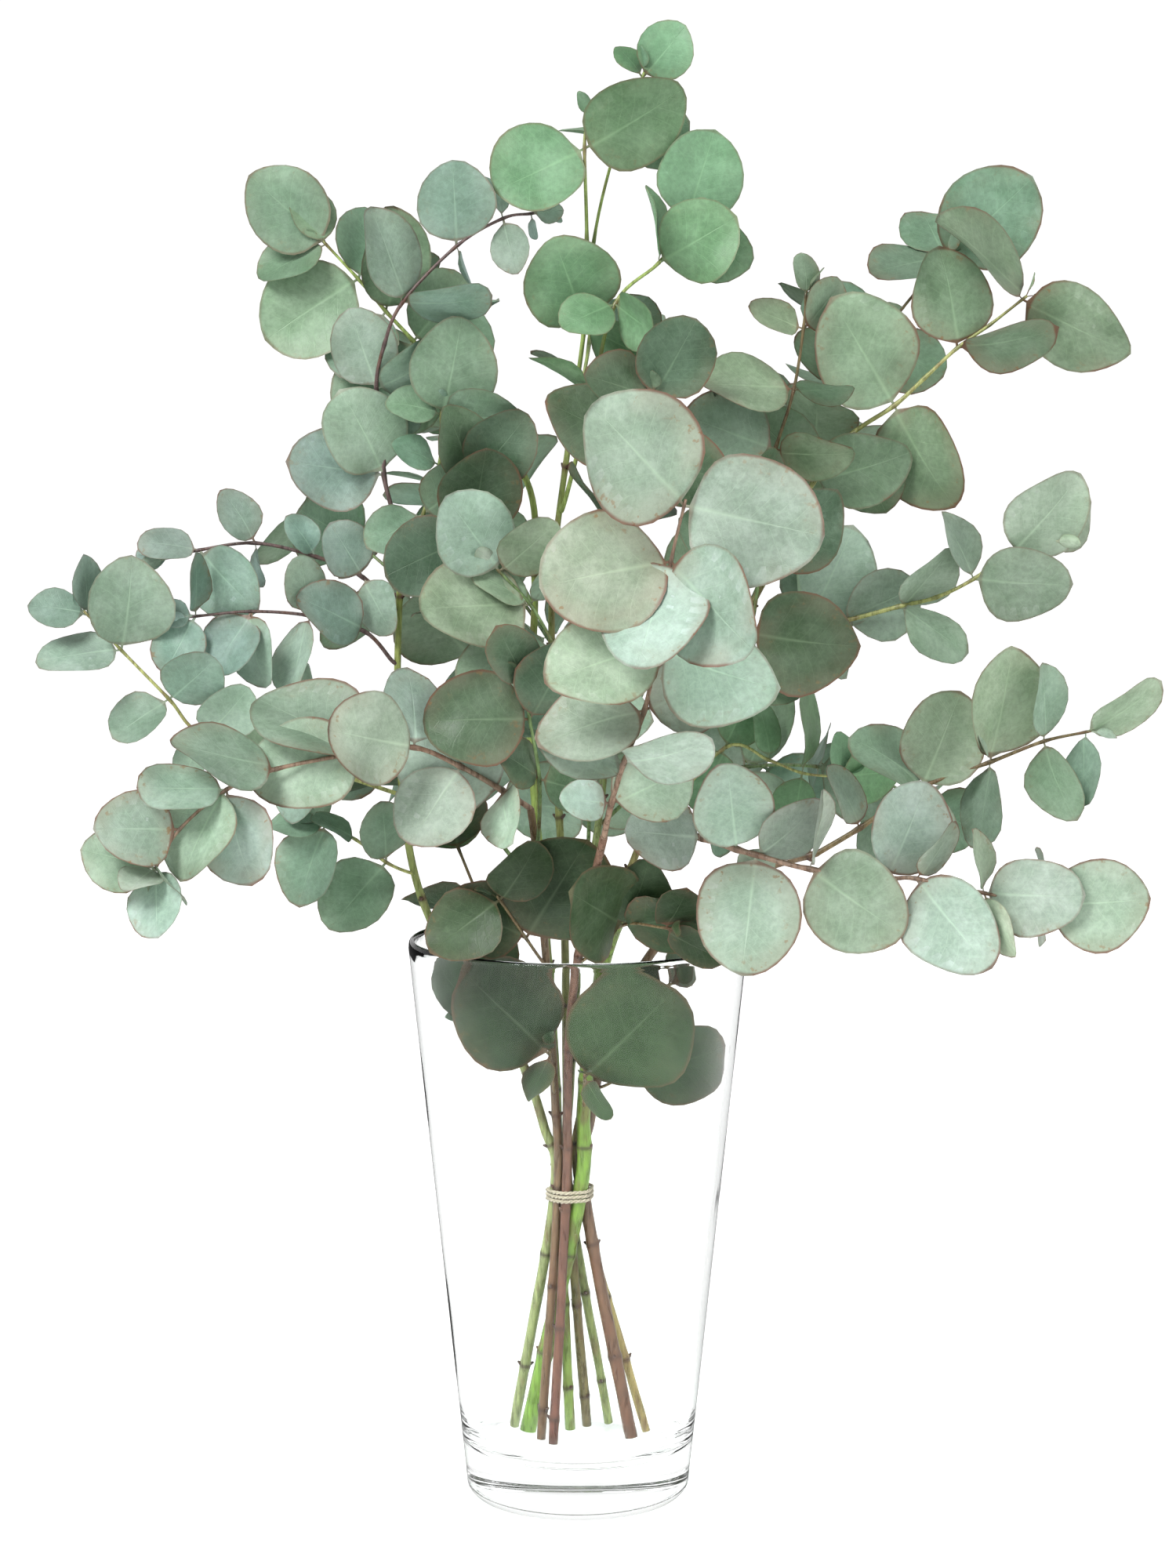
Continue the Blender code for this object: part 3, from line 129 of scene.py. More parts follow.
# Centimetres and degrees. A shoot's row is name, the stem it grows from, its twig's radius there, and joints.
# A joint is x, y, z and its leaves. A leaf is length, clock (0 right, 90 up), lean to the front and roll.
# Where a leaf has only a length and a turn, it stands for an opposite pair, turned that far round the twig.
SHOOTS = (
    ("shoot_top_centre", "stem_6", 0.13, (
        (-0.3, 0.2, 47.4, ()), (0.3, 0.2, 51.8, ((4.2, 110, 30, 8), (3.4, 328, 10, 50))),
        (0.4, 0.0, 55.3, ((1.6, 200, 0, 60),)), (0.3, 0.2, 59.3, ((4.1, 207, 10, 25), (4.6, 27, 10, 20))),
        (0.4, 0.3, 60.3, ()),
    )),
    ("shoot_top_tip", "stem_6", 0.1, (
        (-0.4, 0.3, 46.6, ()), (0.5, 1.6, 51.0, ()), (0.7, 1.8, 55.4, ()),
        (1.7, 1.5, 59.6, ((2.4, 160, 0, 70), (3.0, 14, 10, 15))),
        (2.8, 1.2, 62.4, ((2.6, 48, 15, 10), (1.5, 124, 0, 45))),
    )),
    ("shoot_top_right", "stem_6", 0.12, (
        (-0.9, 0.2, 43.0, ()), (0.6, -1.2, 48.6, ((3.0, 15),)),
        (1.6, -1.4, 52.6, ((2.4, 200, 30, 30), (2.6, 340, 30, 40))),
        (3.5, -0.6, 54.4, ((3.7, 30, 15, 10), (3.1, 92, 20, 75))),
        (4.6, 0.4, 56.0, ((4.2, 72, -10, 25), (3.1, -35, 10, 20))),
    )),
    ("shoot_left_arch", "stem_5", 0.13, (
        (-4.2, 2.0, 47.6, ()), (-5.6, 2.0, 49.2, ((3.8, 190, 20, 20), (3.6, 75, 0, 35))),
        (-7.2, 2.0, 51.1, ((4.7, 232, 15, 10), (3.6, 60, -15, 30))),
        (-8.4, 2.0, 52.4, ((3.4, 225, 35, 30), (4.2, 78, 10, 35))),
        (-9.6, 2.0, 53.8, ((4.6, 212, 10, 15), (3.6, 95, -20, 20))),
        (-11.0, 2.1, 55.3, ((4.2, 138, 10, 10), (3.1, 216, 15, 50), (2.4, 95, 0, 40))),
    )),
    ("shoot_left_slender", "stem_1", 0.12, (
        (-7.6, -0.3, 42.3, ()), (-8.4, -0.2, 45.3, ((3.9, 122, 15, 30), (4.1, 172, 15, 10))),
        (-8.2, 0.0, 47.2, ((2.6, 15, 30, 30),)), (-8.7, -0.3, 49.0, ((3.5, 108, 15, 15), (3.6, 30, 10, 50))),
        (-8.3, -1.0, 50.9, ()), (-7.5, -1.1, 52.7, ((4.0, 105, 10, 50), (3.6, 356, 10, 70))),
        (-5.2, -0.6, 55.1, ((3.4, 92, 10, 15), (2.3, 292, 10, 80))),
        (-3.2, -0.3, 56.3, ((1.7, 80, 10, 60), (2.2, 282, 10, 30))),
        (-2.0, -0.3, 56.5, ((1.2, 5, 15, 10), (0.9, 280, 10, 60))),
    )),
    ("shoot_left_inner", "stem_1", 0.11, (
        (-7.7, -0.4, 40.5, ()), (-6.7, -0.4, 43.6, ((2.8, 205, 40, 20), (3.2, 20, 20, 25))),
        (-6.0, -0.4, 45.7, ((2.6, 200, 30, 40), (3.0, 330, 20, 20))),
        (-5.9, -0.3, 47.9, ((4.0, 75, 15, 15), (3.4, 355, 20, 30), (2.2, 160, 20, 40))),
    )),
    ("shoot_right_arch", "stem_9", 0.14, (
        (9.0, 2.4, 42.0, ()), (10.4, 2.2, 45.0, ((3.8, 130, 15, 20), (4.1, 16, 15, 12))),
        (12.0, 2.1, 47.0, ((3.6, 285, 20, 20), (3.0, 180, 30, 40))),
        (13.9, 2.0, 48.3, ((5.4, 122, 15, 8), (4.9, 295, 15, 40))), (15.2, 1.8, 49.5, ()),
        (16.6, 1.7, 50.8, ((4.2, 5, 15, 60), (4.2, 97, 5, 20))), (18.0, 1.6, 51.8, ()),
        (19.4, 1.5, 52.9, ((5.0, 132, 10, 65), (5.0, -30, 15, 35))),
    )),
    ("shoot_right_crown", "stem_9", 0.12, (
        (8.6, 2.4, 41.2, ()), (10.6, 4.2, 46.6, ((3.6, 90),)),
        (13.4, 4.6, 51.2, ((3.6, 150, 0, 25), (3.2, 330, -10, 30))),
        (16.2, 4.0, 54.8, ((4.9, 40, 12, 15), (3.4, 190, 20, 60), (3.2, 108, -45, 10))),
    )),
    ("shoot_right_inner", "stem_9", 0.11, (
        (6.6, 2.5, 37.0, ()), (7.2, 1.4, 42.0, ((3.8, 30),)),
        (8.6, 0.6, 46.4, ((4.2, 160, 15, 10), (3.2, 350, 20, 40))),
        (9.4, 0.6, 49.0, ((4.0, 195, 15, 45), (2.6, 30, 10, 45))),
        (9.8, 0.6, 51.6, ((2.6, 55, 10, 30), (2.4, 160, 10, 45))), (9.9, 0.6, 53.0, ((1.6, 90, 10, 40),)),
    )),
    ("shoot_front_centre", "stem_4", 0.16, (
        (1.1, -9.5, 30.6, ()), (1.4, -11.2, 32.2, ((2.0, 172, 20, 20), (3.4, 15, 20, 30))),
        (1.9, -12.4, 34.0, ((3.8, 168, 30, 50), (3.9, 10, 35, 55))),
        (2.7, -13.6, 36.2, ((4.2, 190, 20, 45), (3.8, 12, 20, 25))),
        (3.2, -14.6, 38.8, ((4.6, 190, 35, 25), (4.8, 345, 30, 25))),
        (3.7, -15.4, 42.2, ((5.0, 188, 15, 25), (5.1, 318, 15, 15), (4.6, 250, 30, 15))),
        (4.2, -15.8, 44.4, ((5.2, 132, 15, 15), (5.4, -12, 15, 8))),
    )),
    ("shoot_front_left", "stem_3", 0.15, (
        (-2.0, -4.2, 31.2, ()), (-3.2, -5.2, 32.1, ((4.6, 150, 15, 12), (2.8, 300, 30, 30))),
        (-4.9, -6.2, 33.2, ((3.7, 236, 15, 20), (3.2, 60, 10, 30))),
        (-6.8, -7.2, 34.1, ((3.9, 182, 20, 10), (3.4, 90, -20, 30))),
        (-8.9, -8.2, 34.0, ((4.5, 190, 15, 15), (5.0, 152, -15, 50))), (-12.4, -9.2, 33.4, ((4.3, 168, 0, 55),)),
        (-14.4, -9.7, 32.6, ((3.9, 238, 15, 35), (3.8, 282, 15, 25), (3.4, 178, 10, 65))),
        (-16.3, -10.0, 31.0, ((3.3, 158, 30, 25), (2.8, 75, 10, 40))),
        (-17.3, -10.1, 29.4, ((2.9, 150, 45, 25), (2.9, 275, 35, 30), (2.0, 210, 60, 40), (2.2, 20, 50, 30))),
    )),
    ("shoot_front_right", "stem_2", 0.18, (
        (4.2, -7.4, 30.5, ()), (5.2, -8.0, 30.4, ((3.4, 172, 25, 20), (3.0, 60, 10, 40))),
        (6.6, -8.6, 30.0, ((3.9, 97, 25, 8), (2.4, 300, 30, 30))),
        (7.4, -8.9, 29.8, ((4.8, 262, 20, 8), (3.2, 40, 10, 35))),
        (9.6, -9.6, 29.3, ((4.4, -28, 15, 8), (3.2, 84, 10, 80))),
        (12.7, -10.1, 29.0, ((4.0, 112, 15, 20), (3.0, 285, 10, 60))),
        (13.9, -10.3, 29.0, ((4.5, -52, 15, 20), (2.6, 60, 10, 50))),
        (16.6, -11.0, 28.5, ((3.9, 8, 20, 10), (2.5, 100, 10, 65), (2.6, 262, 10, 60))),
        (19.0, -11.5, 28.1, ((4.0, 3, 15, 10), (2.2, 92, 10, 82), (2.2, 272, 10, 82))),
    )),
    ("shoot_right_low", "stem_8", 0.15, (
        (10.4, -2.0, 29.0, ()), (12.2, -2.1, 30.1, ((2.8, 110, 10, 50),)),
        (14.9, -2.2, 31.9, ((4.2, 54, 15, 12), (3.6, 135, 15, 60), (2.8, 280, 0, 30))),
        (17.8, -2.3, 33.0, ((4.9, 79, 10, 45), (3.5, 136, 0, 65), (3.6, 262, 10, 70))),
        (20.1, -2.3, 33.9, ((3.2, 90, 10, 50), (3.4, 284, 10, 55))),
        (21.9, -2.3, 34.3, ((3.6, 28, 10, 55), (3.0, 258, 10, 70))),
    )),
    ("shoot_right_mid", "stem_9", 0.14, (
        (6.2, 2.5, 36.0, ()), (10.0, 1.0, 38.6, ((4.6, 62, 20, 10), (3.6, 95, 10, 78))),
        (11.6, 0.6, 38.9, ((2.4, 275, 10, 70), (3.4, 40, -20, 30))),
        (14.0, -0.2, 39.6, ((3.2, 45, 10, 50), (3.4, -24, 10, 60))), (15.6, -0.3, 40.0, ()),
        (17.2, -0.4, 40.8, ((4.0, -5, 15, 20), (3.0, 120, 10, 50))), (18.8, -0.5, 42.0, ((4.1, 48, 10, 15),)),
        (20.4, -0.6, 42.4, ((2.9, 22, 10, 20), (1.8, 100, 0, 50))),
    )),
    ("shoot_left_high", "stem_1", 0.11, (
        (-7.8, -0.5, 39.3, ()), (-9.3, -0.9, 40.9, ((2.6, 110, 20, 30), (2.6, 270, 20, 40))),
        (-11.3, -1.2, 41.8, ((1.9, 120, 10, 45), (2.0, 262, 10, 65))),
        (-13.9, -1.4, 42.4, ((2.4, 115, 10, 45), (1.7, 280, 10, 78))),
        (-16.3, -1.5, 42.1, ((2.4, 168, 10, 60), (3.4, 312, 15, 20))), (-17.5, -1.5, 41.8, ((1.3, 160, 10, 20),)),
    )),
    ("shoot_left_mid", "stem_1", 0.11, (
        (-7.8, -0.6, 37.0, ()), (-9.2, -1.6, 38.6, ((3.2, 175, 20, 25),)),
        (-11.5, -2.1, 39.3, ((3.4, 255, 10, 65), (2.4, 80, 10, 40))),
        (-14.0, -2.3, 39.5, ((3.1, 238, 15, 30), (3.0, 272, 15, 40))),
        (-16.4, -2.4, 39.3, ((2.6, 95, 10, 65), (2.6, 242, 15, 12), (1.6, 180, 20, 30))),
    )),
    ("shoot_left_low", "stem_1", 0.11, (
        (-7.6, -0.9, 31.4, ()), (-11.8, -2.6, 33.0, ((2.4, 255, 20, 30),)),
        (-16.0, -3.0, 34.2, ((2.8, 62, 15, 25), (2.0, 240, 20, 30))),
        (-17.5, -3.1, 35.8, ((2.9, 46, 15, 25), (2.7, 214, 15, 45))),
        (-19.5, -3.2, 37.9, ((3.8, 77, 15, 30), (3.4, 184, 15, 50))),
        (-20.9, -3.2, 39.4, ((2.4, 92, 10, 62), (2.3, 165, 10, 40))),
    )),
    ("shoot_rim_left", "stem_1", 0.09, (
        (-7.1, -1.0, 27.9, ()), (-8.3, -2.0, 28.6, ((3.6, 228, 20, 25), (2.6, 90, 20, 40))),
        (-9.6, -2.1, 29.6, ((2.0, 170, 10, 60),)),
        (-10.9, -2.2, 30.3, ((3.5, 248, 15, 40), (2.2, 176, 15, 55), (1.6, 80, 10, 30))),
    )),
    ("shoot_right_wisp", "stem_9", 0.09, (
        (3.5, 2.3, 28.6, ()), (6.5, 2.0, 33.2, ((3.2, 80, -10, 30), (3.0, 250, -10, 30))),
        (8.5, 2.6, 32.6, ((2.6, 100, -10, 50),)), (10.0, 2.8, 32.0, ((3.8, 78, 0, 78), (2.4, 262, 0, 40))),
        (11.6, 3.0, 31.8, ((2.8, 5, -30, 10), (1.8, 80, -10, 40))),
    )),
    ("shoot_centre_left", "stem_6", 0.12, (
        (-0.8, 0.3, 30.5, ()), (0.2, -2.6, 34.2, ((3.4, 20),)),
        (0.0, -3.6, 36.2, ((3.4, 340, 20, 30), (2.8, 200, 20, 30))),
        (-0.9, -4.1, 38.0, ((4.3, 193, 20, 40), (3.6, 12, 15, 20))),
        (-2.0, -4.2, 39.9, ((4.6, 180, 20, 30), (3.2, 50, 10, 60), (2.5, 138, 10, 60))),
        (-3.3, -4.2, 41.3, ((3.7, 124, 15, 12), (3.0, 30, 15, 30))),
    )),
    ("shoot_centre_low", "stem_3", 0.11, (
        (-1.7, -3.5, 28.6, ()), (-1.6, -5.6, 32.6, ((2.6, 350, 30, 20), (2.4, 160, 30, 30))),
        (-2.0, -6.2, 35.2, ((4.2, 178, 20, 12), (3.6, 60, 10, 25))), (-2.2, -6.4, 36.6, ((2.6, 110, 20, 30),)),
    )),
    ("shoot_core_left", "stem_6", 0.12, (
        (-1.1, 0.3, 36.4, ()), (-3.2, -0.8, 39.6, ((3.8, 10),)),
        (-4.6, -1.2, 42.6, ((4.0, 80, 20, 15), (3.8, 200, 25, 20))),
        (-4.6, -1.2, 45.0, ((3.6, 40, 20, 15), (3.2, 140, 20, 30))),
    )),
    ("shoot_core_right", "stem_6", 0.12, (
        (-1.1, 0.2, 39.6, ()), (1.2, -1.8, 43.4, ((3.8, 60),)),
        (2.6, -2.4, 46.4, ((4.2, 150, 20, 15), (4.0, 340, 20, 15))),
        (3.2, -2.6, 48.6, ((3.6, 60, 15, 15), (3.0, 160, 20, 35))),
    )),
    ("shoot_core_far_right", "stem_9", 0.12, (
        (4.7, 2.4, 32.4, ()), (6.2, -1.0, 35.6, ((3.8, 30),)),
        (7.4, -2.4, 38.6, ((4.4, 350, 20, 15), (3.8, 190, 20, 20))),
        (7.8, -2.8, 41.6, ((4.2, 40, 15, 20), (3.8, 150, 20, 15))), (7.9, -2.9, 43.6, ((2.8, 85, 15, 40),)),
    )),
    ("shoot_over_rim", "stem_4", 0.09, (
        (0.0, -3.9, 24.3, ()), (1.9, -5.8, 26.4, ((4.4, 150, 10, 10), (3.6, 10, 20, 30), (3.2, 75, 10, 20))),
        (3.7, -7.2, 26.5, ((2.6, 325, 15, 50), (2.4, 80, 20, 30))),
    )),
    ("shoot_rim_dark", "stem_3", 0.09, (
        (-1.4, -2.2, 24.0, ()), (-2.2, -4.2, 25.6, ((5.0, 50, 10, 8), (3.6, 150, 20, 20))),
        (-3.3, -5.2, 27.4, ((3.4, 222, 15, 12), (3.0, 60, 15, 20))),
    )),
    ("shoot_glass_left", "stem_3", 0.09, (
        (-1.0, -0.8, 17.6, ()), (-1.2, -2.2, 20.2, ((5.3, 128, 8, 10), (2.0, 245, 20, 50))),
    )),
    ("shoot_glass_centre", "stem_2", 0.09, (
        (0.25, -0.8, 17.2, ()), (0.3, -2.6, 19.3, ((5.6, 62, 5, 10), (1.9, 300, 20, 50))),
    )),
    ("shoot_glass_right", "stem_8", 0.09, (
        (0.8, 0.0, 18.2, ()), (2.3, -1.0, 19.2, ((4.0, 2, 5, 20), (3.0, 75, 0, 30))),
    )),
    ("shoot_glass_wall", "stem_8", 0.08, (
        (1.9, -0.2, 22.0, ()), (4.0, 0.5, 22.8, ((4.0, 85, 5, 50), (2.4, 200, -10, 40))),
    )),
    ("shoot_glass_edge", "stem_1", 0.08, (
        (-3.3, -0.6, 21.2, ()), (-4.5, -1.6, 21.8, ((2.7, 140, 10, 40), (2.6, 60, 20, 20))),
    )),
    ("shoot_glass_rear", "stem_5", 0.09, (
        (-1.3, 1.2, 20.0, ()), (-2.8, 2.6, 22.6, ((3.6, 140, -10, 20), (3.0, 260, -20, 30))),
        (-4.2, 3.6, 25.6, ((3.6, 200),)), (-5.4, 4.4, 28.4, ((4.0, 100),)), (-6.6, 5.0, 31.2, ((4.0, 10),)),
        (-7.6, 5.4, 33.8, ((3.4, 90),)),
    )),
    ("shoot_rear_low_left", "stem_5", 0.12, (
        (-1.8, 1.8, 26.5, ()), (-5.0, 5.6, 30.2, ((4.0, 0),)), (-8.4, 8.4, 31.8, ((4.4, 90),)),
        (-11.4, 10.2, 32.6, ((4.0, 10),)), (-13.8, 11.4, 32.4, ((3.4, 90),)),
    )),
    ("shoot_rear_left", "stem_5", 0.12, (
        (-2.2, 2.2, 33.4, ()), (-4.8, 5.4, 37.0, ((4.4, 90),)), (-7.6, 8.0, 39.8, ((4.6, 0),)),
        (-10.0, 9.8, 41.8, ((4.2, 90),)), (-12.0, 10.8, 43.0, ((3.4, 10),)),
    )),
    ("shoot_rear_high_left", "stem_5", 0.12, (
        (-1.9, 2.2, 39.4, ()), (-4.2, 5.0, 43.6, ((4.4, 0),)), (-6.0, 6.6, 47.2, ((4.4, 90),)),
        (-7.0, 7.6, 50.6, ((4.0, 0),)), (-7.4, 8.0, 53.4, ((3.0, 90),)),
    )),
    ("shoot_rear_crown", "stem_7", 0.13, (
        (1.8, 9.5, 42.0, ()), (2.0, 10.2, 45.2, ((4.6, 90),)), (2.0, 10.6, 48.4, ((4.6, 0),)),
        (2.2, 10.8, 51.2, ((3.6, 90),)),
    )),
    ("shoot_rear_inner_left", "stem_7", 0.12, (
        (1.4, 7.3, 33.8, ()), (-1.4, 9.6, 37.6, ((4.4, 0),)), (-3.6, 11.4, 40.8, ((4.4, 90),)),
        (-5.0, 12.6, 44.2, ((4.0, 0),)), (-5.6, 13.2, 46.8, ((3.2, 90),)),
    )),
    ("shoot_rear_inner_right", "stem_7", 0.12, (
        (1.6, 8.0, 36.2, ()), (4.4, 10.2, 39.6, ((4.4, 90),)), (7.2, 12.0, 42.0, ((4.4, 0),)),
        (9.2, 13.2, 45.0, ((4.0, 90),)), (10.4, 13.8, 47.6, ((3.0, 0),)),
    )),
    ("shoot_rear_low", "stem_7", 0.12, (
        (0.3, 4.0, 25.2, ()), (0.5, 8.8, 29.6, ((4.2, 0),)), (0.2, 12.2, 31.2, ((4.4, 90),)),
        (-0.2, 15.0, 31.4, ((4.0, 0),)), (-0.6, 17.2, 30.6, ((3.2, 90),)),
    )),
    ("shoot_rear_low_right", "stem_7", 0.12, (
        (0.9, 5.7, 29.2, ()), (3.8, 8.8, 31.4, ((4.2, 90),)), (6.6, 11.4, 31.8, ((4.4, 0),)),
        (8.8, 13.4, 31.2, ((4.0, 90),)), (10.4, 14.8, 30.0, ((3.0, 0),)),
    )),
    ("shoot_rear_right", "stem_9", 0.12, (
        (4.2, 2.4, 31.2, ()), (7.6, 5.4, 32.0, ((4.2, 0),)), (11.0, 7.6, 31.8, ((4.4, 90),)),
        (14.0, 9.0, 31.0, ((4.0, 0),)), (16.2, 9.8, 29.8, ((3.2, 90),)),
    )),
    ("shoot_rear_high_right", "stem_9", 0.12, (
        (7.2, 2.5, 38.4, ()), (9.0, 5.4, 42.2, ((4.2, 90),)), (10.6, 7.4, 45.8, ((4.4, 0),)),
        (11.4, 8.6, 49.2, ((4.0, 90),)), (11.8, 9.2, 52.0, ((3.0, 0),)),
    )),
)

print(len(STEMS), "stems and", len(SHOOTS), "shoots with", sum(len(row[3]) - 1 for row in SHOOTS), "leafy joints")

# %% [markdown]
# ## Smooth lines through the joints
#
# A living stem has no corners, so its centre line is a Catmull-Rom curve through the joints. A Bezier curve would
# need handles for every joint. Here a span needs only the joint before and after it, and the curve passes through
# each joint exactly, so leaves sit on the line.

# %% Lines, lengths and nearest points
def unit(v):
    """v over its own length."""
    v = np.asarray(v, dtype=float)
    return v / np.linalg.norm(v, axis=-1, keepdims=True)


def smooth_line(joints, per_span):
    """Between b and c, next to a and d: half of 2b + t(c - a) + t^2(2a - 5b + 4c - d) + t^3(3b - a - 3c + d)."""
    p = np.asarray(joints, dtype=float)
    p = np.vstack([2 * p[0] - p[1], p, 2 * p[-1] - p[-2]])
    t = (np.arange(per_span) / per_span)[:, None]
    spans = []
    for a, b, c, d in zip(p[:-3], p[1:-2], p[2:-1], p[3:]):
        cubic = 2 * b + t * (c - a) + t**2 * (2 * a - 5 * b + 4 * c - d) + t**3 * (3 * b - a - 3 * c + d)
        spans.append(0.5 * cubic)
    return np.vstack(spans + [p[-2:-1]])


def reach_along(line):
    """The length along a line at each of its points, from 0."""
    return np.append(0.0, np.cumsum(np.linalg.norm(np.diff(line, axis=0), axis=1)))


def points_at(stops, reach, line):
    """The points of a line at some lengths along it."""
    return np.stack([np.interp(stops, reach, line[:, axis]) for axis in range(3)], axis=1)


def outward(ahead, off, turn):
    """right cos(turn) + back sin(turn), with right square to ahead and off, and back square to ahead and right."""
    right = unit(np.cross(ahead, off))
    return right * math.cos(turn) + np.cross(ahead, right) * math.sin(turn)


def nearest(line, point):
    """Where a line passes nearest to a point: (distance, place along it from 0 to 1, the point on the line)."""
    a = line[:-1]
    along = line[1:] - a
    share = np.clip(((point - a) * along).sum(1) / (along**2).sum(1), 0, 1)
    feet = a + share[:, None] * along
    far = np.linalg.norm(feet - point, axis=1)
    i = int(far.argmin())
    return far[i], (i + share[i]) / len(a), feet[i]


def ring_quads(rings, sides):
    """Quads between neighbouring rings of points: k and k + 1 of one ring with k + 1 and k of the next."""
    first = np.arange(rings - 1)[:, None] * sides
    k = np.arange(sides)[None, :]
    after = (k + 1) % sides
    quads = np.stack([first + k, first + after, first + sides + after, first + sides + k], axis=-1)
    return quads.reshape(-1, 4)


def tube(line, radii, sides):
    """Ring k round point p of the line: p + r cos(a) across + r sin(a) up, with across and up square to the line."""
    ahead = unit(np.gradient(line, axis=0))
    off = np.array([0.0, 1.0, 0.0]) if abs(ahead[:, 1]).mean() < 0.7 else np.array([1.0, 0.0, 0.0])
    across = unit(np.cross(ahead, off))
    up = np.cross(across, ahead)
    angle = np.arange(sides) * TURN / sides
    ring = across[:, None] * np.cos(angle)[None, :, None] + up[:, None] * np.sin(angle)[None, :, None]
    points = (line[:, None] + ring * np.asarray(radii)[:, None, None]).reshape(-1, 3)
    return points, ring_quads(len(line), sides)


# %% [markdown]
# ## Stems and twigs as lines
#
# Each stem runs from its cut end over the tie to its top. A twig leaves its stem just outside the bark in the CAD
# model, because two solids there may not overlap. The same starting points are worked out here, and the finished
# twig is later drawn back into the stem, where the real one grows out of it.

# %% Stem lines
STEM_PER_SPAN = 2
TWIG_PER_SPAN = 1
TWIG_TIP_RADIUS = 0.06
TWIG_OVERRUN = 0.25
NODE_GAP = 0.045
END_GAP = 0.05
START_STEP = 0.02


def stem_lines():
    """Each stem's name to its centre line and the radius at each of its points, in metres."""
    lines = {}
    for name, thick, thin, joints in STEMS:
        line = smooth_line(np.array(joints) * CM, STEM_PER_SPAN)
        lines[name] = (line, np.linspace(thick, thin, len(line)) * CM)
    return lines


stems = stem_lines()
print("longest stem", round(max(reach_along(line)[-1] for line, _ in stems.values()), 3))


# %% Twig lines
def twig_start(parent, first, second, radius):
    """Where a twig can begin: on the way from the stem to its second joint, just clear of the stem's bark."""
    line, radii = parent
    _, place, foot = nearest(line, first)
    way = unit(second - foot)
    if place >= 0.999:
        bend = np.linalg.norm(np.cross(way, unit(line[-1] - line[-2])))
        return foot + way * (END_GAP * CM + radii[-1] * bend)
    i = min(int(place * (len(line) - 1)), len(line) - 2)
    lean = abs(float(way @ unit(line[i + 1] - line[i])))
    need = radii[i] + NODE_GAP * CM + radius * lean
    reach = 0.0
    while nearest(line, foot + way * reach)[0] < need:
        reach += START_STEP * CM
    return foot + way * reach


def shoot_lines(stems):
    """Each shoot's name to its twig's centre line, radii, joints and the leaves at each joint."""
    shoots = {}
    for name, parent, radius, rows in SHOOTS:
        joints = np.array([row[:3] for row in rows]) * CM
        joints[0] = twig_start(stems[parent], joints[0], joints[1], radius * CM)
        tip = joints[-1] + unit(joints[-1] - joints[-2]) * TWIG_OVERRUN * CM
        line = np.vstack([smooth_line(joints, TWIG_PER_SPAN), tip])
        radii = np.linspace(radius, TWIG_TIP_RADIUS, len(line)) * CM
        shoots[name] = (line, radii, joints, [row[3] for row in rows])
    return shoots


shoots = shoot_lines(stems)
print(len(shoots), "twigs, the first starts at", np.round(shoots["shoot_top_centre"][0][0], 4))

# %% [markdown]
# ## Which way a leaf points
#
# At the front, where each leaf can be told apart, a leaf has its own clock, lean and roll. Elsewhere leaves follow
# the plant's habit: an opposite pair, with the next pair turned a quarter round the twig. Both give the same three
# things, a root, an axis and a face, so one leaf surface serves every leaf.

# %% Leaf directions
PAIR_SPREAD = 62.0


def aimed(clock, lean, roll):
    """Axis (cos l cos c, -sin l, cos l sin c). The face is the front direction made square to it, rolled about it."""
    c, l, r = np.radians([clock, lean, roll])
    axis = np.array([math.cos(l) * math.cos(c), -math.sin(l), math.cos(l) * math.sin(c)])
    front = np.array([0.0, -1.0, 0.0])
    face = unit(front - (front @ axis) * axis)
    return axis, face * math.cos(r) + np.cross(axis, face) * math.sin(r)


def paired(line, joint, turn):
    """Two leaves at out and -out, each leaning the spread angle away from the twig, with the face towards its tip."""
    _, place, _ = nearest(line, joint)
    i = min(int(place * (len(line) - 1)), len(line) - 2)
    ahead = unit(line[i + 1] - line[i])
    out = outward(ahead, (0.0, -1.0, 0.05), math.radians(turn))
    s = math.radians(PAIR_SPREAD)
    both = []
    for way in (out, -out):
        both.append((way * math.sin(s) + ahead * math.cos(s), ahead * math.sin(s) - way * math.cos(s)))
    return both


# %% [markdown]
# ## The leaf's surface
#
# A eucalyptus leaf of this kind starts as a disc: wider near its stalk, folded along the midrib, bent back towards
# its tip and a little twisted. One function of two parameters, across and along, gives that middle surface. The CAD
# model reads it at nine points and the finished leaf at many more, so both are the same leaf.

# %% The blade
LEAF_RIM_POINTS = 8
LEAF_THICKNESS = 0.07
LEAF_CLEARANCE = 0.04
PETIOLE = 0.30
LEAF_ROOT = 0.04
SOFT_FOLD = 0.12
# Least and greatest width over length, fold, bend, twist and egg shape
TRAIT_RANGE = ((0.86, 0.05, -0.04, -0.35, 0.02), (1.04, 0.36, 0.26, 0.35, 0.18))


def blade(u, v, leaf):
    """With k = (v + 1)/2 and w a soft fold's share of the width W:

    x = W/2 u (1 - egg v), y = stalk + L k, z = fold (sqrt(x^2 + w^2) - w) - bend L k^2 + twist x k.
    """
    length, width, fold, bend, twist, egg = leaf
    k = (v + 1) / 2
    x = 0.5 * width * u * (1 - egg * v)
    y = PETIOLE * CM + length * k
    z = fold * np.sqrt(x**2 + (SOFT_FOLD * width) ** 2) - bend * length * k**2 + twist * x * k
    return x, y, z - fold * SOFT_FOLD * width


def leaf_traits(length, rng):
    """A leaf's size and shape from its length in centimetres: (length, width, fold, bend, twist, egg)."""
    ratio, fold, bend, twist, egg = rng.uniform(*TRAIT_RANGE)
    return length * CM, length * CM * ratio, fold, bend, twist, egg


